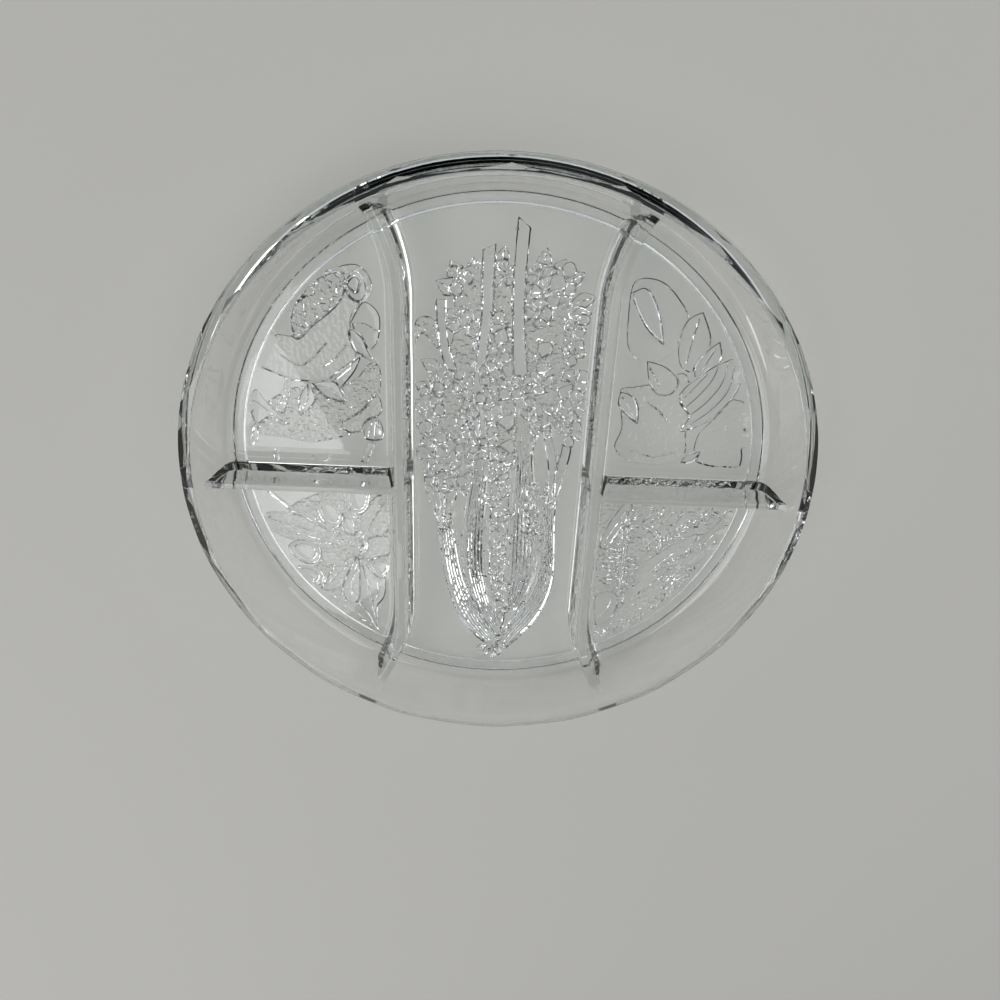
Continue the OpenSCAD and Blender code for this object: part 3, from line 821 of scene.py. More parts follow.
# Leaves that stand out along the edge of the head: base, tip and width
CELERY_PETALS = (
    (-20, 90, -34, 96, 9), (-18, 94, -27, 106, 8), (-13, 96, -16, 108, 7.5), (-2, 100, -1, 114, 7),
    (17, 98, 19, 114, 7.5), (22, 96, 28, 109, 7.5), (25, 92, 38, 103, 8), (30, 86, 45, 91, 8),
    (30, 80, 43, 83, 7), (29, 72, 41, 75, 8), (30, 64, 41, 63, 7), (30, 48, 45, 51, 8), (30, 38, 45, 33, 8),
    (32, 26, 43, 27, 7), (-28, 50, -41, 56, 8), (-28, 38, -45, 43, 9), (-30, 28, -45, 30, 8),
    (-30, 16, -45, 21, 8), (-30, 8, -43, 9, 7), (-26, 78, -34, 84, 7),
)
# Places and turns of the leaf clusters that fill the head
CELERY_LEAVES = (
    (-22, 97, 10), (16, 101, 20), (27, 98, 75), (0, 100, 30), (20, 92, 55), (-22, 78, 60),
    (-15, 74, 20), (17, 81, 5), (35, 76, 50), (-6, 69, 55), (1, 75, 0), (35, 63, 70), (-32, 44, 15),
    (-3, 58, 10), (19, 58, 60), (37, 47, 45), (-36, 38, 50), (-3, 46, 65), (20, 46, 10),
    (38, 33, 0), (-36, 27, 30), (-17, 24, 20), (-2, 35, 45), (30, 27, 25), (-36, 14, 0),
    (-19, 12, 70), (-3, 23, 15), (37, 19, 65), (-34, 2, 45), (-17, 0, 55), (-1, 10, 5),
    (-33, -9, 60), (-24, -6, 10), (-21, -16, 65),
)
# Clusters over the inner stalks, and down the strip between them: place, turn and reach
CELERY_OVER = (
    (-14, 33, 20, 8.5), (10, 44, 50, 8), (16, 30, 10, 8), (-10, 8, 40, 7.5), (-6, 50, 75, 7.5),
    (-25, 45, 30, 7), (21, 20, 55, 6.5), (2, -1, 25, 6.5),
)
CELERY_STRIP = (
    (0, -9, 20, 5.6), (5, -16, 60, 5.2), (-1, -23, 40, 5.4), (5, -31, 0, 5.2), (0, -39, 50, 5.4),
    (5, -47, 25, 5), (0, -55, 65, 5.2), (5, -63, 10, 4.8), (1, -71, 45, 4.8), (6, -78, 0, 4.4),
    (4, -86, 30, 4.2), (7, -94, 60, 3.6), (21, -18, 80, 5.2), (20, -29, 20, 5), (21, -40, 50, 4.2),
)


def celery_forms():
    """The bunch of celery under the middle place."""
    forms = [stalk(((1, 20, 9), (2, -30, 10), (2, -65, 9), (4, -92, 5), (7, -106, 1.2)), 0.9)]
    forms += [stalk(*row) for row in CELERY_OUTER]
    forms.append(blob(
        ((-44.5, 63), (-44.5, 63), (-45.5, 72), (-42, 77), (-36, 78), (-30, 70), (-30, 60), (-36, 65.5),
         (-40, 69)), 1.2, crumple=1.0))
    for x, y, tip_x, tip_y, width in CELERY_PETALS:
        forms.append(leaf((x, y), (tip_x, tip_y), width, 1.2, 0.03, 0.55, crumple=0.4))
    forms.append(blob(CELERY_GROUND, 0.8, 0.2, crumple=1.0))
    for k, (x, y, turn) in enumerate(CELERY_LEAVES):
        forms += cluster(x, y, turn, 9.3 + 1.5 * math.sin(3 * x + y), 3 + k % 2)
    forms += [stalk(*row[:3], slant=row[3]) for row in CELERY_INNER]
    for x, y, turn, reach in CELERY_STRIP:
        forms += cluster(x, y, turn, reach, 4, 1.4)
    for x, y, turn, reach in CELERY_OVER:
        forms += cluster(x, y, turn, reach, 4, 1.7)
    for k, (x, y) in enumerate(((-10, -124), (-5, -128), (1, -130), (6, -127), (9, -122))):
        forms.append(leaf((3, -119), (x, y - 2), 4.5, 1.2, 0.05 * (k - 2)))
    return forms


def cucumber_forms():
    """Cut cucumber with its leaves, upper left."""
    return [
        blob(((-103, 66), (-105, 76), (-100, 87), (-90, 96), (-79, 101), (-71.5, 102), (-66, 98), (-64, 91),
              (-68, 84), (-75, 75), (-73, 61), (-74, 53), (-86, 43), (-103, 42), (-116, 46), (-122, 51),
              (-114, 65)), 1.0, 0.3, crumple=0.35,
             veins=(((-110, 55), (-102, 50), (-95, 54), (-88, 62)), ((-78, 62), (-84, 54), (-90, 50)))),
        blob(((-104, 67), (-103.5, 77.5), (-97.5, 88), (-89, 95), (-79, 98), (-77, 93), (-79.5, 85),
              (-85.5, 78), (-94, 71), (-101, 64)), 1.5, 0.3, stipple=1.0),
        blob(((-72, 99), (-68, 95), (-67, 89), (-70, 84), (-75, 86), (-77, 93)), 1.3, 0.5),
        blob(((-75, 74), (-75, 74), (-68.5, 84), (-61, 78), (-61.5, 66), (-65.5, 60), (-71, 63)), 1.1,
             veins=(((-74, 73), (-68, 73), (-63, 70)),)),
        blob(((-76, 70), (-70, 66), (-66, 57), (-61, 53), (-61, 53), (-68, 55), (-74, 60)), 1.2),
        blob(((-129, 13), (-123.5, 25), (-115, 33), (-102.5, 39), (-86.5, 38), (-74, 44), (-66, 53),
              (-61, 50), (-61.5, 37), (-64.5, 27), (-71, 16.5), (-80.5, 12), (-97.5, 8), (-112, 10)),
             0.85, 0.3, stipple=0.8),
        blob(((-87.5, 43), (-87.5, 43), (-79, 50), (-70, 57), (-70, 57), (-74, 48), (-81, 39), (-81, 39)),
             1.2, veins=(((-84, 43), (-76, 50)),)),
        stalk(((-107.5, 43, 3.6), (-110, 34, 3.6), (-113.5, 24, 3.6)), 1.5, 2, slant=1),
        leaf((-97, 42), (-103, 23), 8, 1.5, 0.06),
        leaf((-96, 41), (-79, 31), 9.5, 1.5, 0.08),
        blob(((-132, 36), (-132, 36), (-125, 37), (-119, 29), (-109, 18), (-109, 18), (-119, 21),
              (-126, 17), (-129, 26)), 1.3, veins=(((-129, 33), (-122, 27), (-114, 20)),)),
        blob(((-82, 19), (-76, 23), (-70, 28), (-63, 36), (-60.5, 28), (-65, 22), (-70, 16), (-78, 14)),
             1.3, crumple=0.6),
        blob(((-71, 15), (-69, 10.5), (-61, 11), (-60.5, 18), (-63.5, 23), (-69, 21)), 1.4,
             veins=(((-66, 21), (-68.5, 13)), ((-64, 21), (-65, 12)), ((-63, 20), (-62, 13)))),
        leaf((-126, 18), (-133, 2), 8, 1.1),
        blob(((-76, 92), (-73, 96), (-70, 94), (-72, 88)), 1.6),
        stalk(((-116.5, 3, 3.2), (-117.5, -4, 3.2)), 1.1),
        stalk(((-66, 9, 3.6), (-71, -3, 3.6)), 1.1, 2),
        stalk(((-98, 0, 1.6), (-93, -3.5, 1.8), (-88, 0, 1.6)), 0.8),
    ]


def onion_forms():
    """Onion, pod and leaves, upper right."""
    return [
        blob(((60, 84), (60.5, 97), (64, 101), (71.5, 101), (78, 98), (84, 92), (89, 85), (90.5, 77),
              (88, 69), (82, 62), (72, 58), (62, 66)), 0.75, 0.4, stipple=0.3),
        blob(((61, 94), (61, 94), (68, 96), (75, 84), (79, 69), (79, 69), (71, 76), (65, 85)), 0.95, 0.3),
        blob(((96.5, 86), (96.5, 86), (89.5, 81.5), (86.5, 70), (89, 58), (96, 55), (101.5, 65),
              (102, 74)), 0.95, crumple=0.2, veins=(((95, 82), (93, 70), (92, 60)),)),
        blob(((107, 71.5), (107, 71.5), (101, 66), (96.5, 58), (98, 51), (105, 55), (109, 63)), 0.95, 0.4,
             veins=(((105, 67), (100, 56)),)),
        blob(((60, 43), (67.5, 46), (75.5, 48), (84, 52), (92, 54), (96, 46), (98, 36), (97, 22), (98, 9),
              (90, 3), (76, 2.5), (67, 5), (60.5, 12), (63, 24)), 0.8, 0.4, stipple=0.45,
             veins=(((75.5, 37.5), (81.5, 33), (86, 28)), ((70, 10), (82, 7), (92, 10)))),
        blob(((72, 60), (72, 60), (74, 50), (79, 43), (86, 43), (89, 50), (82, 57)), 1.0, crumple=0.3,
             veins=(((74, 56), (80, 47)),)),
        blob(((60.5, 43), (60.5, 43), (60, 36), (64.5, 31), (71, 26), (71, 26), (70, 35), (66.5, 41)), 1.0,
             veins=(((62, 40), (66, 34), (69, 29)),)),
        blob(((111, 61), (115, 63), (119.5, 59.5), (121, 52), (118.5, 43), (114, 36), (108, 29), (100, 24),
              (94, 23), (97, 31), (92, 38), (92, 45), (98, 51.5), (105.5, 58)), 1.1, 0.4,
             veins=(((98, 26), (108, 35), (115, 46), (116, 58)),
                    ((97, 31), (105, 39), (111, 49), (112.5, 59)),
                    ((95, 36), (101, 43), (106, 51), (108, 58)), ((93.5, 41), (98, 47), (103, 54)))),
        blob(((116.5, 40), (121, 41), (126, 39), (129.5, 34), (131, 28), (127, 24.5), (127, 24.5),
              (130.5, 22), (131.5, 16), (127.5, 13.5), (127.5, 13.5), (128.5, 8), (127.5, 3), (120, 2.5),
              (111, 3), (103, 7), (103, 20), (109, 29)), 0.95, 0.3, crumple=0.4),
        blob(((96, 4), (96, 4), (99, 9), (106, 11), (106, 11), (103, 5)), 1.1),
    ]


def olive_forms():
    """Sprig of olives, lower left."""
    return [
        blob(((-112, -33), (-100, -24), (-84, -20), (-62, -21), (-58, -40), (-58, -58), (-63, -76),
              (-66, -96), (-80, -96), (-98, -88), (-105, -76), (-98, -66), (-100, -56), (-88, -50),
              (-96, -42)), 0.7, 0.2, crumple=0.8),
        stalk(((-123, -22, 3), (-115, -29, 3), (-108, -36, 2.6), (-97, -41, 2.4), (-86, -48, 2.2)), 1.2, 2),
        blob(((-133, -38), (-133, -38), (-123, -35), (-112.5, -35), (-104, -38), (-97, -42), (-90, -48),
              (-83, -58), (-83, -58), (-89, -54.5), (-97, -53), (-105, -53.5), (-114, -52), (-120, -49)),
             1.2, stipple=0.45, veins=(((-127, -38.5), (-114, -42.5), (-104, -45.5), (-92, -51)),
                                  ((-118, -46), (-104, -49.5), (-92, -53)))),
        blob(((-74, -52), (-76.5, -44), (-74, -35), (-69, -27), (-63, -22), (-58, -22), (-58, -40),
              (-62, -48), (-69, -52)), 1.2, crumple=0.6, veins=(((-72, -48), (-67, -38), (-61, -27)),)),
        blob(((-75.5, -60), (-72, -52), (-66, -48.5), (-58, -49), (-58, -59), (-64, -62), (-70, -64)), 1.4,
             crumple=0.5),
        blob(((-75.5, -63), (-71, -66), (-66, -75), (-61, -75), (-61, -84), (-62.5, -90), (-66, -96),
              (-65.5, -104), (-62, -111), (-58, -116), (-58, -116), (-65, -122), (-65, -122), (-67, -113),
              (-71, -103), (-76.5, -92), (-75.5, -80)), 1.3, 0.5,
             veins=(((-74, -68), (-71, -82), (-69, -96), (-66, -108)),
                    ((-66, -78), (-66, -88), (-70, -94)))),
        blob(((-76, -61), (-76, -61), (-83, -64), (-91, -71), (-98, -85), (-98, -85), (-88, -84),
              (-80, -75)), 1.2, crumple=0.4, veins=(((-79, -66), (-87, -73), (-94, -82)),)),
        blob(((-76, -62), (-82, -73), (-86, -85), (-83, -93), (-77, -92), (-75.5, -76)), 1.3, crumple=0.4,
             veins=(((-77, -68), (-80, -78), (-81, -88)),)),
        blob(((-99.5, -58), (-93, -57.5), (-86, -62), (-82.5, -69), (-90, -68), (-97, -65)),
             1.2, crumple=0.5),
        blob(((-109, -88.5), (-109, -88.5), (-101, -88), (-94, -90), (-86.5, -93), (-77, -95.5),
              (-71, -104), (-65, -115), (-65, -115), (-71, -109), (-77, -105), (-86.5, -102.5),
              (-97, -100), (-104, -95)), 1.3,
             veins=(((-104, -91), (-92, -96), (-80, -99.5), (-71, -108)), ((-96, -92), (-84, -96.5)))),
        stalk(((-76, -36, 1.8), (-75.5, -46, 2), (-71.5, -55, 2), (-75, -62, 2.2)), 1.6),
        olive((-83.5, -34), (-78.5, -37), (-76.5, -42), (-77.5, -47.5), (-82, -47), (-85, -42)),
        olive((-97.5, -30), (-94.5, -26.5), (-90, -26.5), (-86, -30.5), (-83.5, -37), (-85, -42),
              (-88.5, -43.5), (-93, -41), (-96.5, -36)),
        olive((-81.5, -20), (-82, -27), (-80, -31.5), (-76, -34.5), (-71.5, -32.5), (-69, -27), (-69, -20),
              (-75, -17.5)),
        olive((-115, -57), (-112, -53.5), (-107.5, -52.5), (-102, -53.5), (-98, -57), (-97, -62),
              (-100, -67), (-104.5, -68), (-109, -66), (-113, -62)),
        olive((-114, -73), (-110.5, -69.5), (-106, -69), (-100, -70.5), (-96.5, -75), (-97.5, -80),
              (-101.5, -83), (-106.5, -83), (-111, -80)),
        olive((-71.5, -67), (-67, -63.5), (-61, -63), (-58.5, -68), (-61.5, -75), (-66, -75)),
    ]


def carrot_forms():
    """Carrots with feathery tops, lower right."""
    forms = [
        blob(((57, -22), (84, -20), (108, -19), (131, -20), (130.5, -38), (122, -55), (115, -70),
              (106, -84), (96, -96), (84, -107), (72, -115), (61, -118), (60, -102), (57, -79), (57, -49)),
             0.7, 0.2, crumple=0.75),
        blob(((59, -44), (64, -31), (71, -20), (74, -26), (71, -34), (67, -42), (63, -50), (59, -50)), 1.1,
             veins=(((61, -46), (66, -36), (71, -26)),)),
        blob(((75, -87), (79, -70), (88, -56), (102, -45), (112, -39), (109, -50), (100, -62), (89, -74),
              (80.5, -84)), 1.2, 0.6, crumple=0.15, veins=(((80, -77), (90, -63), (105, -47)),)),
        blob(((96, -68), (104, -56), (112, -45), (120, -34), (127, -24), (132, -21), (130, -38),
              (122.5, -50.5), (114, -58), (105.5, -65)), 1.2, 0.6, crumple=0.15,
             veins=(((102, -62), (114, -48), (126, -32)), ((104, -64), (118, -49), (129, -36)))),
        stalk(((73.5, -26, 2), (72.6, -41, 2.2), (73, -60, 2.2), (72, -88, 1.8)), 1.5),
        stalk(((70.5, -34, 1.6), (70, -50, 1.8), (70, -70, 1.6)), 1.3),
        stalk(((73, -36.5, 1.8), (79, -35, 2.2), (86.5, -38, 2.2), (91.5, -45, 2.2), (91.5, -53, 1.8)), 1.4),
        stalk(((75, -43, 1.6), (80, -41.5, 1.9), (85, -45, 1.9), (86.5, -51, 1.6)), 1.3),
        blob(((59, -84), (64.5, -79.5), (71, -81), (72.5, -88), (70, -97), (62, -104), (59.5, -95)), 1.2,
             veins=(((62, -99), (67, -90), (69, -83)),)),
    ]
    for k in range(5):
        start = 76 + 5.2 * k
        forms.append(stalk(((start, -31 - 0.8 * k, 1.5), (start + 4.5, -22.5 - 0.8 * k, 1.7)), 1.2))
    forms += blades(((73.5, -54), (73, -74)), 8, math.radians(12), 3.2, 1.3, sides=(1,))
    forms += blades(((70, -50), (70, -74)), 8.5, math.radians(-15), 3.0, 1.3, sides=(-1,))
    forms += blades(((93, -45), (101, -38), (110, -31), (118, -24)), 3.6, math.radians(35), 2.8, 1.2)
    forms += blades(
        ((90, -66), (97, -58), (106, -52), (114, -46)), 3.4, math.radians(35), 2.8, 1.3, sides=(-1,))
    for k in range(4):
        forms.append(stalk((
            (97 + k, -71 - 4.4 * k, 1.6), (103 + k, -63.5 - 4.4 * k, 1.9), (111 - k, -61.5 - 4.4 * k, 1.9),
            (117 - 2 * k, -66.5 - 4.2 * k, 1.6)), 1.3))
    for k in range(8):
        x, y = 68 + 6.6 * k, -111 + 3.2 * k + 0.42 * k * k
        forms.append(leaf((x - 1.5, y + 4.5), (x + 2.5, y - 4), 5.4, 1.2, 0.1 * (-1) ** k, crumple=0.6))
    return forms


def pebbles(points, pitch, seed):
    """Height from 0 to 1 of round pebbles packed side by side at uneven places."""
    size_of_table = 256
    # Squared reach of a pebble, as a share of the squared pitch
    reach = 0.32
    shifts = np.random.default_rng(seed).uniform(0.15, 0.85, (size_of_table, size_of_table, 2))
    place = points / pitch
    cell = np.floor(place).astype(int)
    nearest = np.full(len(points), np.inf)
    for across in (-1, 0, 1):
        for up in (-1, 0, 1):
            other = cell + (across, up)
            middle = other + shifts[other[:, 0] % size_of_table, other[:, 1] % size_of_table]
            nearest = np.minimum(nearest, ((place - middle) ** 2).sum(axis=1))
    return np.sqrt(np.clip(1 - nearest / reach, 0, 1))


def relief_depths(points, forms, r):
    """How far the glass stands under the floor at each point, in millimetres."""
    depth = np.zeros(len(points))
    crumple = r.crumple * (pebbles(points, r.crumple_pitch, 3) - PEBBLE_LEVEL)
    stipple = r.stipple * (pebbles(points, r.stipple_pitch, 5) - PEBBLE_LEVEL)
    for form in forms:
        near = form.near(points, r.groove)
        if not len(near):
            continue
        here = points[near]
        inward = form.depth_in(here)
        rise = np.clip(inward / r.edge, 0, 1)
        swell = np.clip(inward / form.half, 0, 1)
        height = form.height + form.dome * (np.sqrt(1 - (1 - swell) ** 2) - 0.5)
        for vein in form.veins:
            height -= r.vein_depth * np.clip(1 - nearest_on(vein, here, False)[0] / r.vein_half, 0, 1)
        if form.ribs:
            height += form.rib_wave(here, r.rib_slope)
        height += form.crumple * crumple[near] + form.stipple * stipple[near]
        under = depth[near]
        groove = np.clip(1 + inward / r.groove, 0, 1) * GROOVE_SHARE
        under = np.where(inward < 0, under * (1 - groove), under * (1 - GROOVE_SHARE))
        depth[near] = under + (height - under) * rise
    return np.clip(depth * r.depth, 0, r.deepest)


def thinned(points, gap):
    """The points in order, without those closer than gap to one already kept."""
    cells = {}
    kept = []
    keys = np.floor(points / gap).astype(int)
    for i, ((x, y), (cx, cy)) in enumerate(zip(points.tolist(), keys.tolist())):
        close = False
        for nx in (cx - 1, cx, cx + 1):
            for ny in (cy - 1, cy, cy + 1):
                other = cells.get((nx, ny))
                if other is not None and (other[0] - x) ** 2 + (other[1] - y) ** 2 < gap * gap:
                    close = True
                    break
            if close:
                break
        if not close:
            cells[(cx, cy)] = (x, y)
            kept.append(i)
    return points[kept]


class RELISH_OT_press_reliefs(bpy.types.Operator):
    """Presses the underside of the floor with its five vegetables in relief"""
    bl_idname = "relish.press_reliefs"
    bl_label = "Press Vegetable Reliefs"

    def execute(self, context):
        t = in_mm(context.scene.relish_body)
        r = in_mm(context.scene.relish_reliefs)
        s = section_of(t)
        forms = celery_forms() + cucumber_forms() + onion_forms() + olive_forms() + carrot_forms()
        rows = [form.mesh_points(r) for form in reversed(forms)]
        owner = np.repeat(np.arange(len(forms))[::-1], [len(row) for row in rows])
        rows = np.concatenate(rows)
        # Rows that lie well inside a form on top of theirs would only cost faces
        hidden = np.zeros(len(rows), bool)
        for i, form in enumerate(forms):
            near = form.near(rows, 0)
            near = near[owner[near] < i]
            hidden[near[form.depth_in(rows[near]) > r.edge + HIDDEN_MARGIN]] = True
        rows = rows[~hidden]
        patterned = s.under_r - 3
        fine = lattice(patterned, r.rough_gap)
        rough = np.zeros(len(fine), bool)
        for form in forms:
            if form.crumple or form.stipple:
                near = form.near(fine, 0)
                rough[near[form.depth_in(fine[near]) > 0]] = True
        fill = lattice(patterned, r.plain_gap)
        points = thinned(np.concatenate((rows, fine[rough], fill)), r.point_gap)
        last_points = s.under_r - 1.2
        points = points[np.hypot(points[:, 0], points[:, 1]) < last_points]
        points = np.concatenate((ring_points(s.under_r, STEPS_AROUND), points))
        # The reliefs fade out over the last millimetre, and the edge that meets the foot stays flat
        flat_edge = s.under_r - 1.5

        def height_of(plan):
            to_edge = flat_edge - np.hypot(plan[:, 0], plan[:, 1])
            return t.floor_underside - relief_depths(plan, forms, r) * soft_step(to_edge)

        deselect_all()
        sheet_from_points("vegetable_underside", points, height_of)
        return {"FINISHED"}


# Glass

# Edges that turn by more than this stay crisp
CRISP_ANGLE = math.radians(32)


def add_node(tree, kind, inputs=None, **settings):
    """Adds one node with its settings, and sets or links its inputs."""
    node = tree.nodes.new(kind)
    for name, value in settings.items():
        setattr(node, name, value)
    for name, value in (inputs or {}).items():
        if isinstance(value, bpy.types.NodeSocket):
            tree.links.new(value, node.inputs[name])
        else:
            node.inputs[name].default_value = value
    return node


def new_material(name):
    """An empty node material."""
    material = bpy.data.materials.new(name)
    material.use_nodes = True
    material.node_tree.nodes.clear()
    return material


def pressed_glass(g):
    """Soda-lime glass, pressed in an iron mould and fire-polished.

    The flame leaves a bright skin with a slow ripple that bends what is seen through it,
    and thick glass looks faintly grey-green.
    """
    material = new_material("fire_polished_pressed_glass")
    tree = material.node_tree
    place = add_node(tree, "ShaderNodeTexCoord").outputs["Object"]
    # The ripple is about 9 mm from crest to crest
    ripple_pitch = 0.009
    ripple = add_node(tree, "ShaderNodeTexNoise", {
        "Vector": place, "Scale": 1 / ripple_pitch, "Detail": 1.0})
    bump = add_node(tree, "ShaderNodeBump", {
        "Height": ripple.outputs["Fac"], "Strength": 1.0, "Distance": g.ripple * MM})
    skin = add_node(tree, "ShaderNodeBsdfPrincipled", {
        "Base Color": (*g.surface, 1), "Roughness": 0.0, "IOR": g.ior,
        "Transmission Weight": 1.0, "Normal": bump.outputs["Normal"]})
    # Lamps reach the table through the glass, so that its shadow stays as faint as a real one
    clear = add_node(tree, "ShaderNodeBsdfTransparent", {"Color": (*g.shade_colour, 1)})
    to_lamp = add_node(tree, "ShaderNodeLightPath").outputs["Is Shadow Ray"]
    glass = add_node(tree, "ShaderNodeMixShader", {
        "Fac": to_lamp, 1: skin.outputs["BSDF"], 2: clear.outputs["BSDF"]})
    depth = add_node(tree, "ShaderNodeVolumeAbsorption", {
        "Color": (*g.depth_colour, 1), "Density": g.depth_density})
    add_node(tree, "ShaderNodeOutputMaterial", {
        "Surface": glass.outputs["Shader"], "Volume": depth.outputs["Volume"]})
    return material


class RELISH_OT_polish_glass(bpy.types.Operator):
    """Joins the pressed surfaces to one closed piece of glass and gives it its finish"""
    bl_idname = "relish.polish_glass"
    bl_label = "Join And Polish Glass"

    def execute(self, context):
        names = ("rim_wall_foot", "floor_and_dividers", "vegetable_underside")
        parts = [bpy.data.objects[name] for name in names]
        deselect_all()
        for part in parts:
            part.select_set(True)
        context.view_layer.objects.active = parts[0]
        bpy.ops.object.join()
        tray = context.active_object
        tray.name = tray.data.name = "pressed_glass_tray"
        bpy.ops.object.mode_set(mode="EDIT")
        bpy.ops.mesh.select_all(action="SELECT")
        bpy.ops.mesh.remove_doubles(threshold=2 * WELD_GAP * MM)
        bpy.ops.mesh.normals_make_consistent(inside=False)
        bpy.ops.mesh.select_mode(type="VERT")
        bpy.ops.mesh.select_all(action="DESELECT")
        bpy.ops.mesh.select_non_manifold()
        bpy.ops.object.mode_set(mode="OBJECT")
        open_points = sum(v.select for v in tray.data.vertices)
        if open_points:
            raise RuntimeError(f"the glass isn't closed: {open_points} open points")
        bpy.ops.object.shade_smooth_by_angle(angle=CRISP_ANGLE, keep_sharp_edges=True)
        tray.data.materials.clear()
        tray.data.materials.append(pressed_glass(in_mm(context.scene.relish_glass)))
        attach(tray, "root")
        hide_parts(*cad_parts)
        return {"FINISHED"}


# Stage

# The photograph's camera, from a perspective fit: place in metres, turn in degrees, lens in millimetres
CAMERA_PLACE = (-0.00501, 0.21200, 0.43208)
CAMERA_TURN = (-28.7505, 0.3332, 2.3172)
CAMERA_LENS = 32.4
# Places and widths of the two soft lights, in metres
WINDOW_PLACE, WINDOW_WIDTH = (-1.1, -0.6, 1.5), 2.0
FILL_PLACE, FILL_WIDTH = (1.1, 0.7, 1.2), 1.2
# Directions of the bright patches around the room, and the angles over which each one ends
PATCHES = ((-1, 0.5, 0.6), (0.9, 0.75, 0.65), (-0.3, -1, 0.6))
PATCH_CORE, PATCH_EDGE = math.radians(4), math.radians(9)


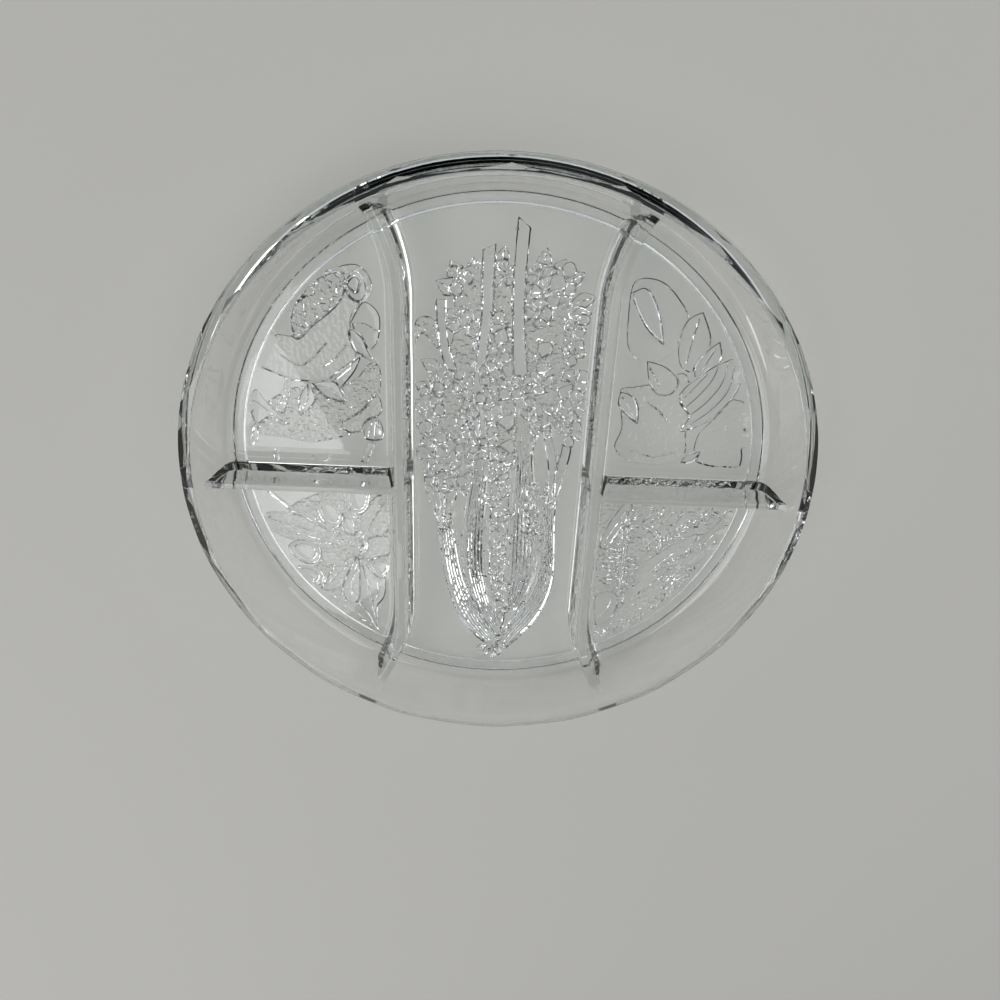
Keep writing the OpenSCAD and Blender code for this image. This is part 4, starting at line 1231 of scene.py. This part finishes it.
class RELISH_OT_set_stage(bpy.types.Operator):
    """Sets the floor, soft light and camera"""
    bl_idname = "relish.set_stage"
    bl_label = "Set Stage"

    def execute(self, context):
        g = in_mm(context.scene.relish_stage)
        deselect_all()
        # The floor lies a hair under the foot, so that their faces don't coincide
        bpy.ops.mesh.primitive_plane_add(size=8, location=(0, 0, -0.05 * MM))
        ground = context.active_object
        ground.name = ground.data.name = "stage_floor"
        ground.data.materials.append(self.matt_floor(g))
        self.room(context, g)
        self.window("window_light", WINDOW_PLACE, WINDOW_WIDTH, g.window_power)
        self.window("fill_light", FILL_PLACE, FILL_WIDTH, g.fill_power)
        camera = bpy.data.objects.new("photo_camera", bpy.data.cameras.new("photo_camera"))
        camera.data.lens = CAMERA_LENS
        camera.data.clip_start = 0.01
        camera.location = CAMERA_PLACE
        camera.rotation_euler = [math.radians(a) for a in CAMERA_TURN]
        context.scene.collection.objects.link(camera)
        context.scene.camera = camera
        context.scene.view_settings.view_transform = "Standard"
        return {"FINISHED"}

    def matt_floor(self, g):
        """Plain matt board, painted pale, as a photographer's table has."""
        material = new_material("matt_painted_board")
        tree = material.node_tree
        paint = add_node(tree, "ShaderNodeBsdfPrincipled", {
            "Base Color": (*g.floor_colour, 1), "Roughness": 0.9, "Specular IOR Level": 0.2})
        add_node(tree, "ShaderNodeOutputMaterial", {"Surface": paint.outputs["BSDF"]})
        return material

    def room(self, context, g):
        """A plain backdrop low down, pale panels and dim gaps above it, and pale light overhead."""
        world = bpy.data.worlds.new("soft_room")
        world.use_nodes = True
        tree = world.node_tree
        tree.nodes.clear()
        way = add_node(tree, "ShaderNodeTexCoord").outputs["Generated"]
        # Upward share of a direction: 0.36 is 21 degrees up, 0.5 is 30 and 0.85 is 58
        up = add_node(tree, "ShaderNodeSeparateXYZ", {"Vector": way}).outputs["Z"]
        spread = add_node(tree, "ShaderNodeTexNoise", {"Vector": way, "Scale": 5.5, "Detail": 1.0})
        # Each layer is a value, where the layer starts, where it is full, and its colour
        layers = [
            (spread.outputs["Fac"], 0.48, 0.56, g.panel_colour),
            (up, 0.5, 0.85, g.room_colour),
            (up, 0.4, 0.36, g.backdrop_colour),
        ]
        for towards in PATCHES:
            near = add_node(tree, "ShaderNodeVectorMath", {
                0: way, 1: Vector(towards).normalized()}, operation="DOT_PRODUCT")
            layers.append((
                near.outputs["Value"], math.cos(PATCH_EDGE), math.cos(PATCH_CORE), g.window_colour))
        light = (*g.gap_colour, 1)
        for value, start, full, tint in layers:
            share = add_node(tree, "ShaderNodeMapRange", {
                "Value": value, "From Min": start, "From Max": full}, interpolation_type="SMOOTHSTEP")
            light = add_node(tree, "ShaderNodeMix", {
                0: share.outputs["Result"], 6: light, 7: (*tint, 1)}, data_type="RGBA").outputs[2]
        glow = add_node(tree, "ShaderNodeBackground", {"Color": light, "Strength": g.room_strength})
        add_node(tree, "ShaderNodeOutputWorld", {"Surface": glow.outputs["Background"]})
        context.scene.world = world

    def window(self, name, place, width, power):
        """A soft light, wider than it is high, that faces the tray."""
        lamp = bpy.data.lights.new(name, "AREA")
        lamp.shape = "RECTANGLE"
        lamp.size = width
        lamp.size_y = width * 0.6
        lamp.energy = power
        obj = bpy.data.objects.new(name, lamp)
        obj.location = place
        obj.rotation_euler = (-Vector(place)).to_track_quat("-Z", "Y").to_euler()
        bpy.context.scene.collection.objects.link(obj)


class RELISH_PT_panel(bpy.types.Panel):
    """Lists the steps of the tray and their sizes"""
    bl_idname = "RELISH_PT_panel"
    bl_label = "Relish Tray"
    bl_space_type = "VIEW_3D"
    bl_region_type = "UI"
    bl_category = "Relish Tray"

    def draw(self, context):
        layout = self.layout
        for operator in OPERATORS:
            layout.operator(operator.bl_idname)
        for name in GROUPS:
            box = layout.box()
            group = getattr(context.scene, name)
            for prop in group.bl_rna.properties:
                if prop.identifier not in ("rna_type", "name"):
                    box.prop(group, prop.identifier)


GROUPS = {
    "relish_body": RelishTrayBody,
    "relish_dividers": RelishTrayDividers,
    "relish_reliefs": RelishTrayReliefs,
    "relish_glass": RelishTrayGlass,
    "relish_stage": RelishTrayStage,
}
OPERATORS = (
    RELISH_OT_press_rim,
    RELISH_OT_press_places,
    RELISH_OT_press_reliefs,
    RELISH_OT_polish_glass,
    RELISH_OT_set_stage,
)
CLASSES = (*GROUPS.values(), *OPERATORS, RELISH_PT_panel)


def register():
    """Registers the classes and the property groups of the scene."""
    for cls in CLASSES:
        bpy.utils.register_class(cls)
    for name, group in GROUPS.items():
        setattr(bpy.types.Scene, name, PointerProperty(type=group))


def unregister():
    """Takes them away again."""
    for name in GROUPS:
        delattr(bpy.types.Scene, name)
    for cls in reversed(CLASSES):
        bpy.utils.unregister_class(cls)


def main():
    """Makes the tray and its stage."""
    register()
    bpy.ops.relish.press_rim()
    bpy.ops.relish.press_places()
    bpy.ops.relish.press_reliefs()
    bpy.ops.relish.polish_glass()
    bpy.ops.relish.set_stage()


if __name__ == "__main__":
    main()
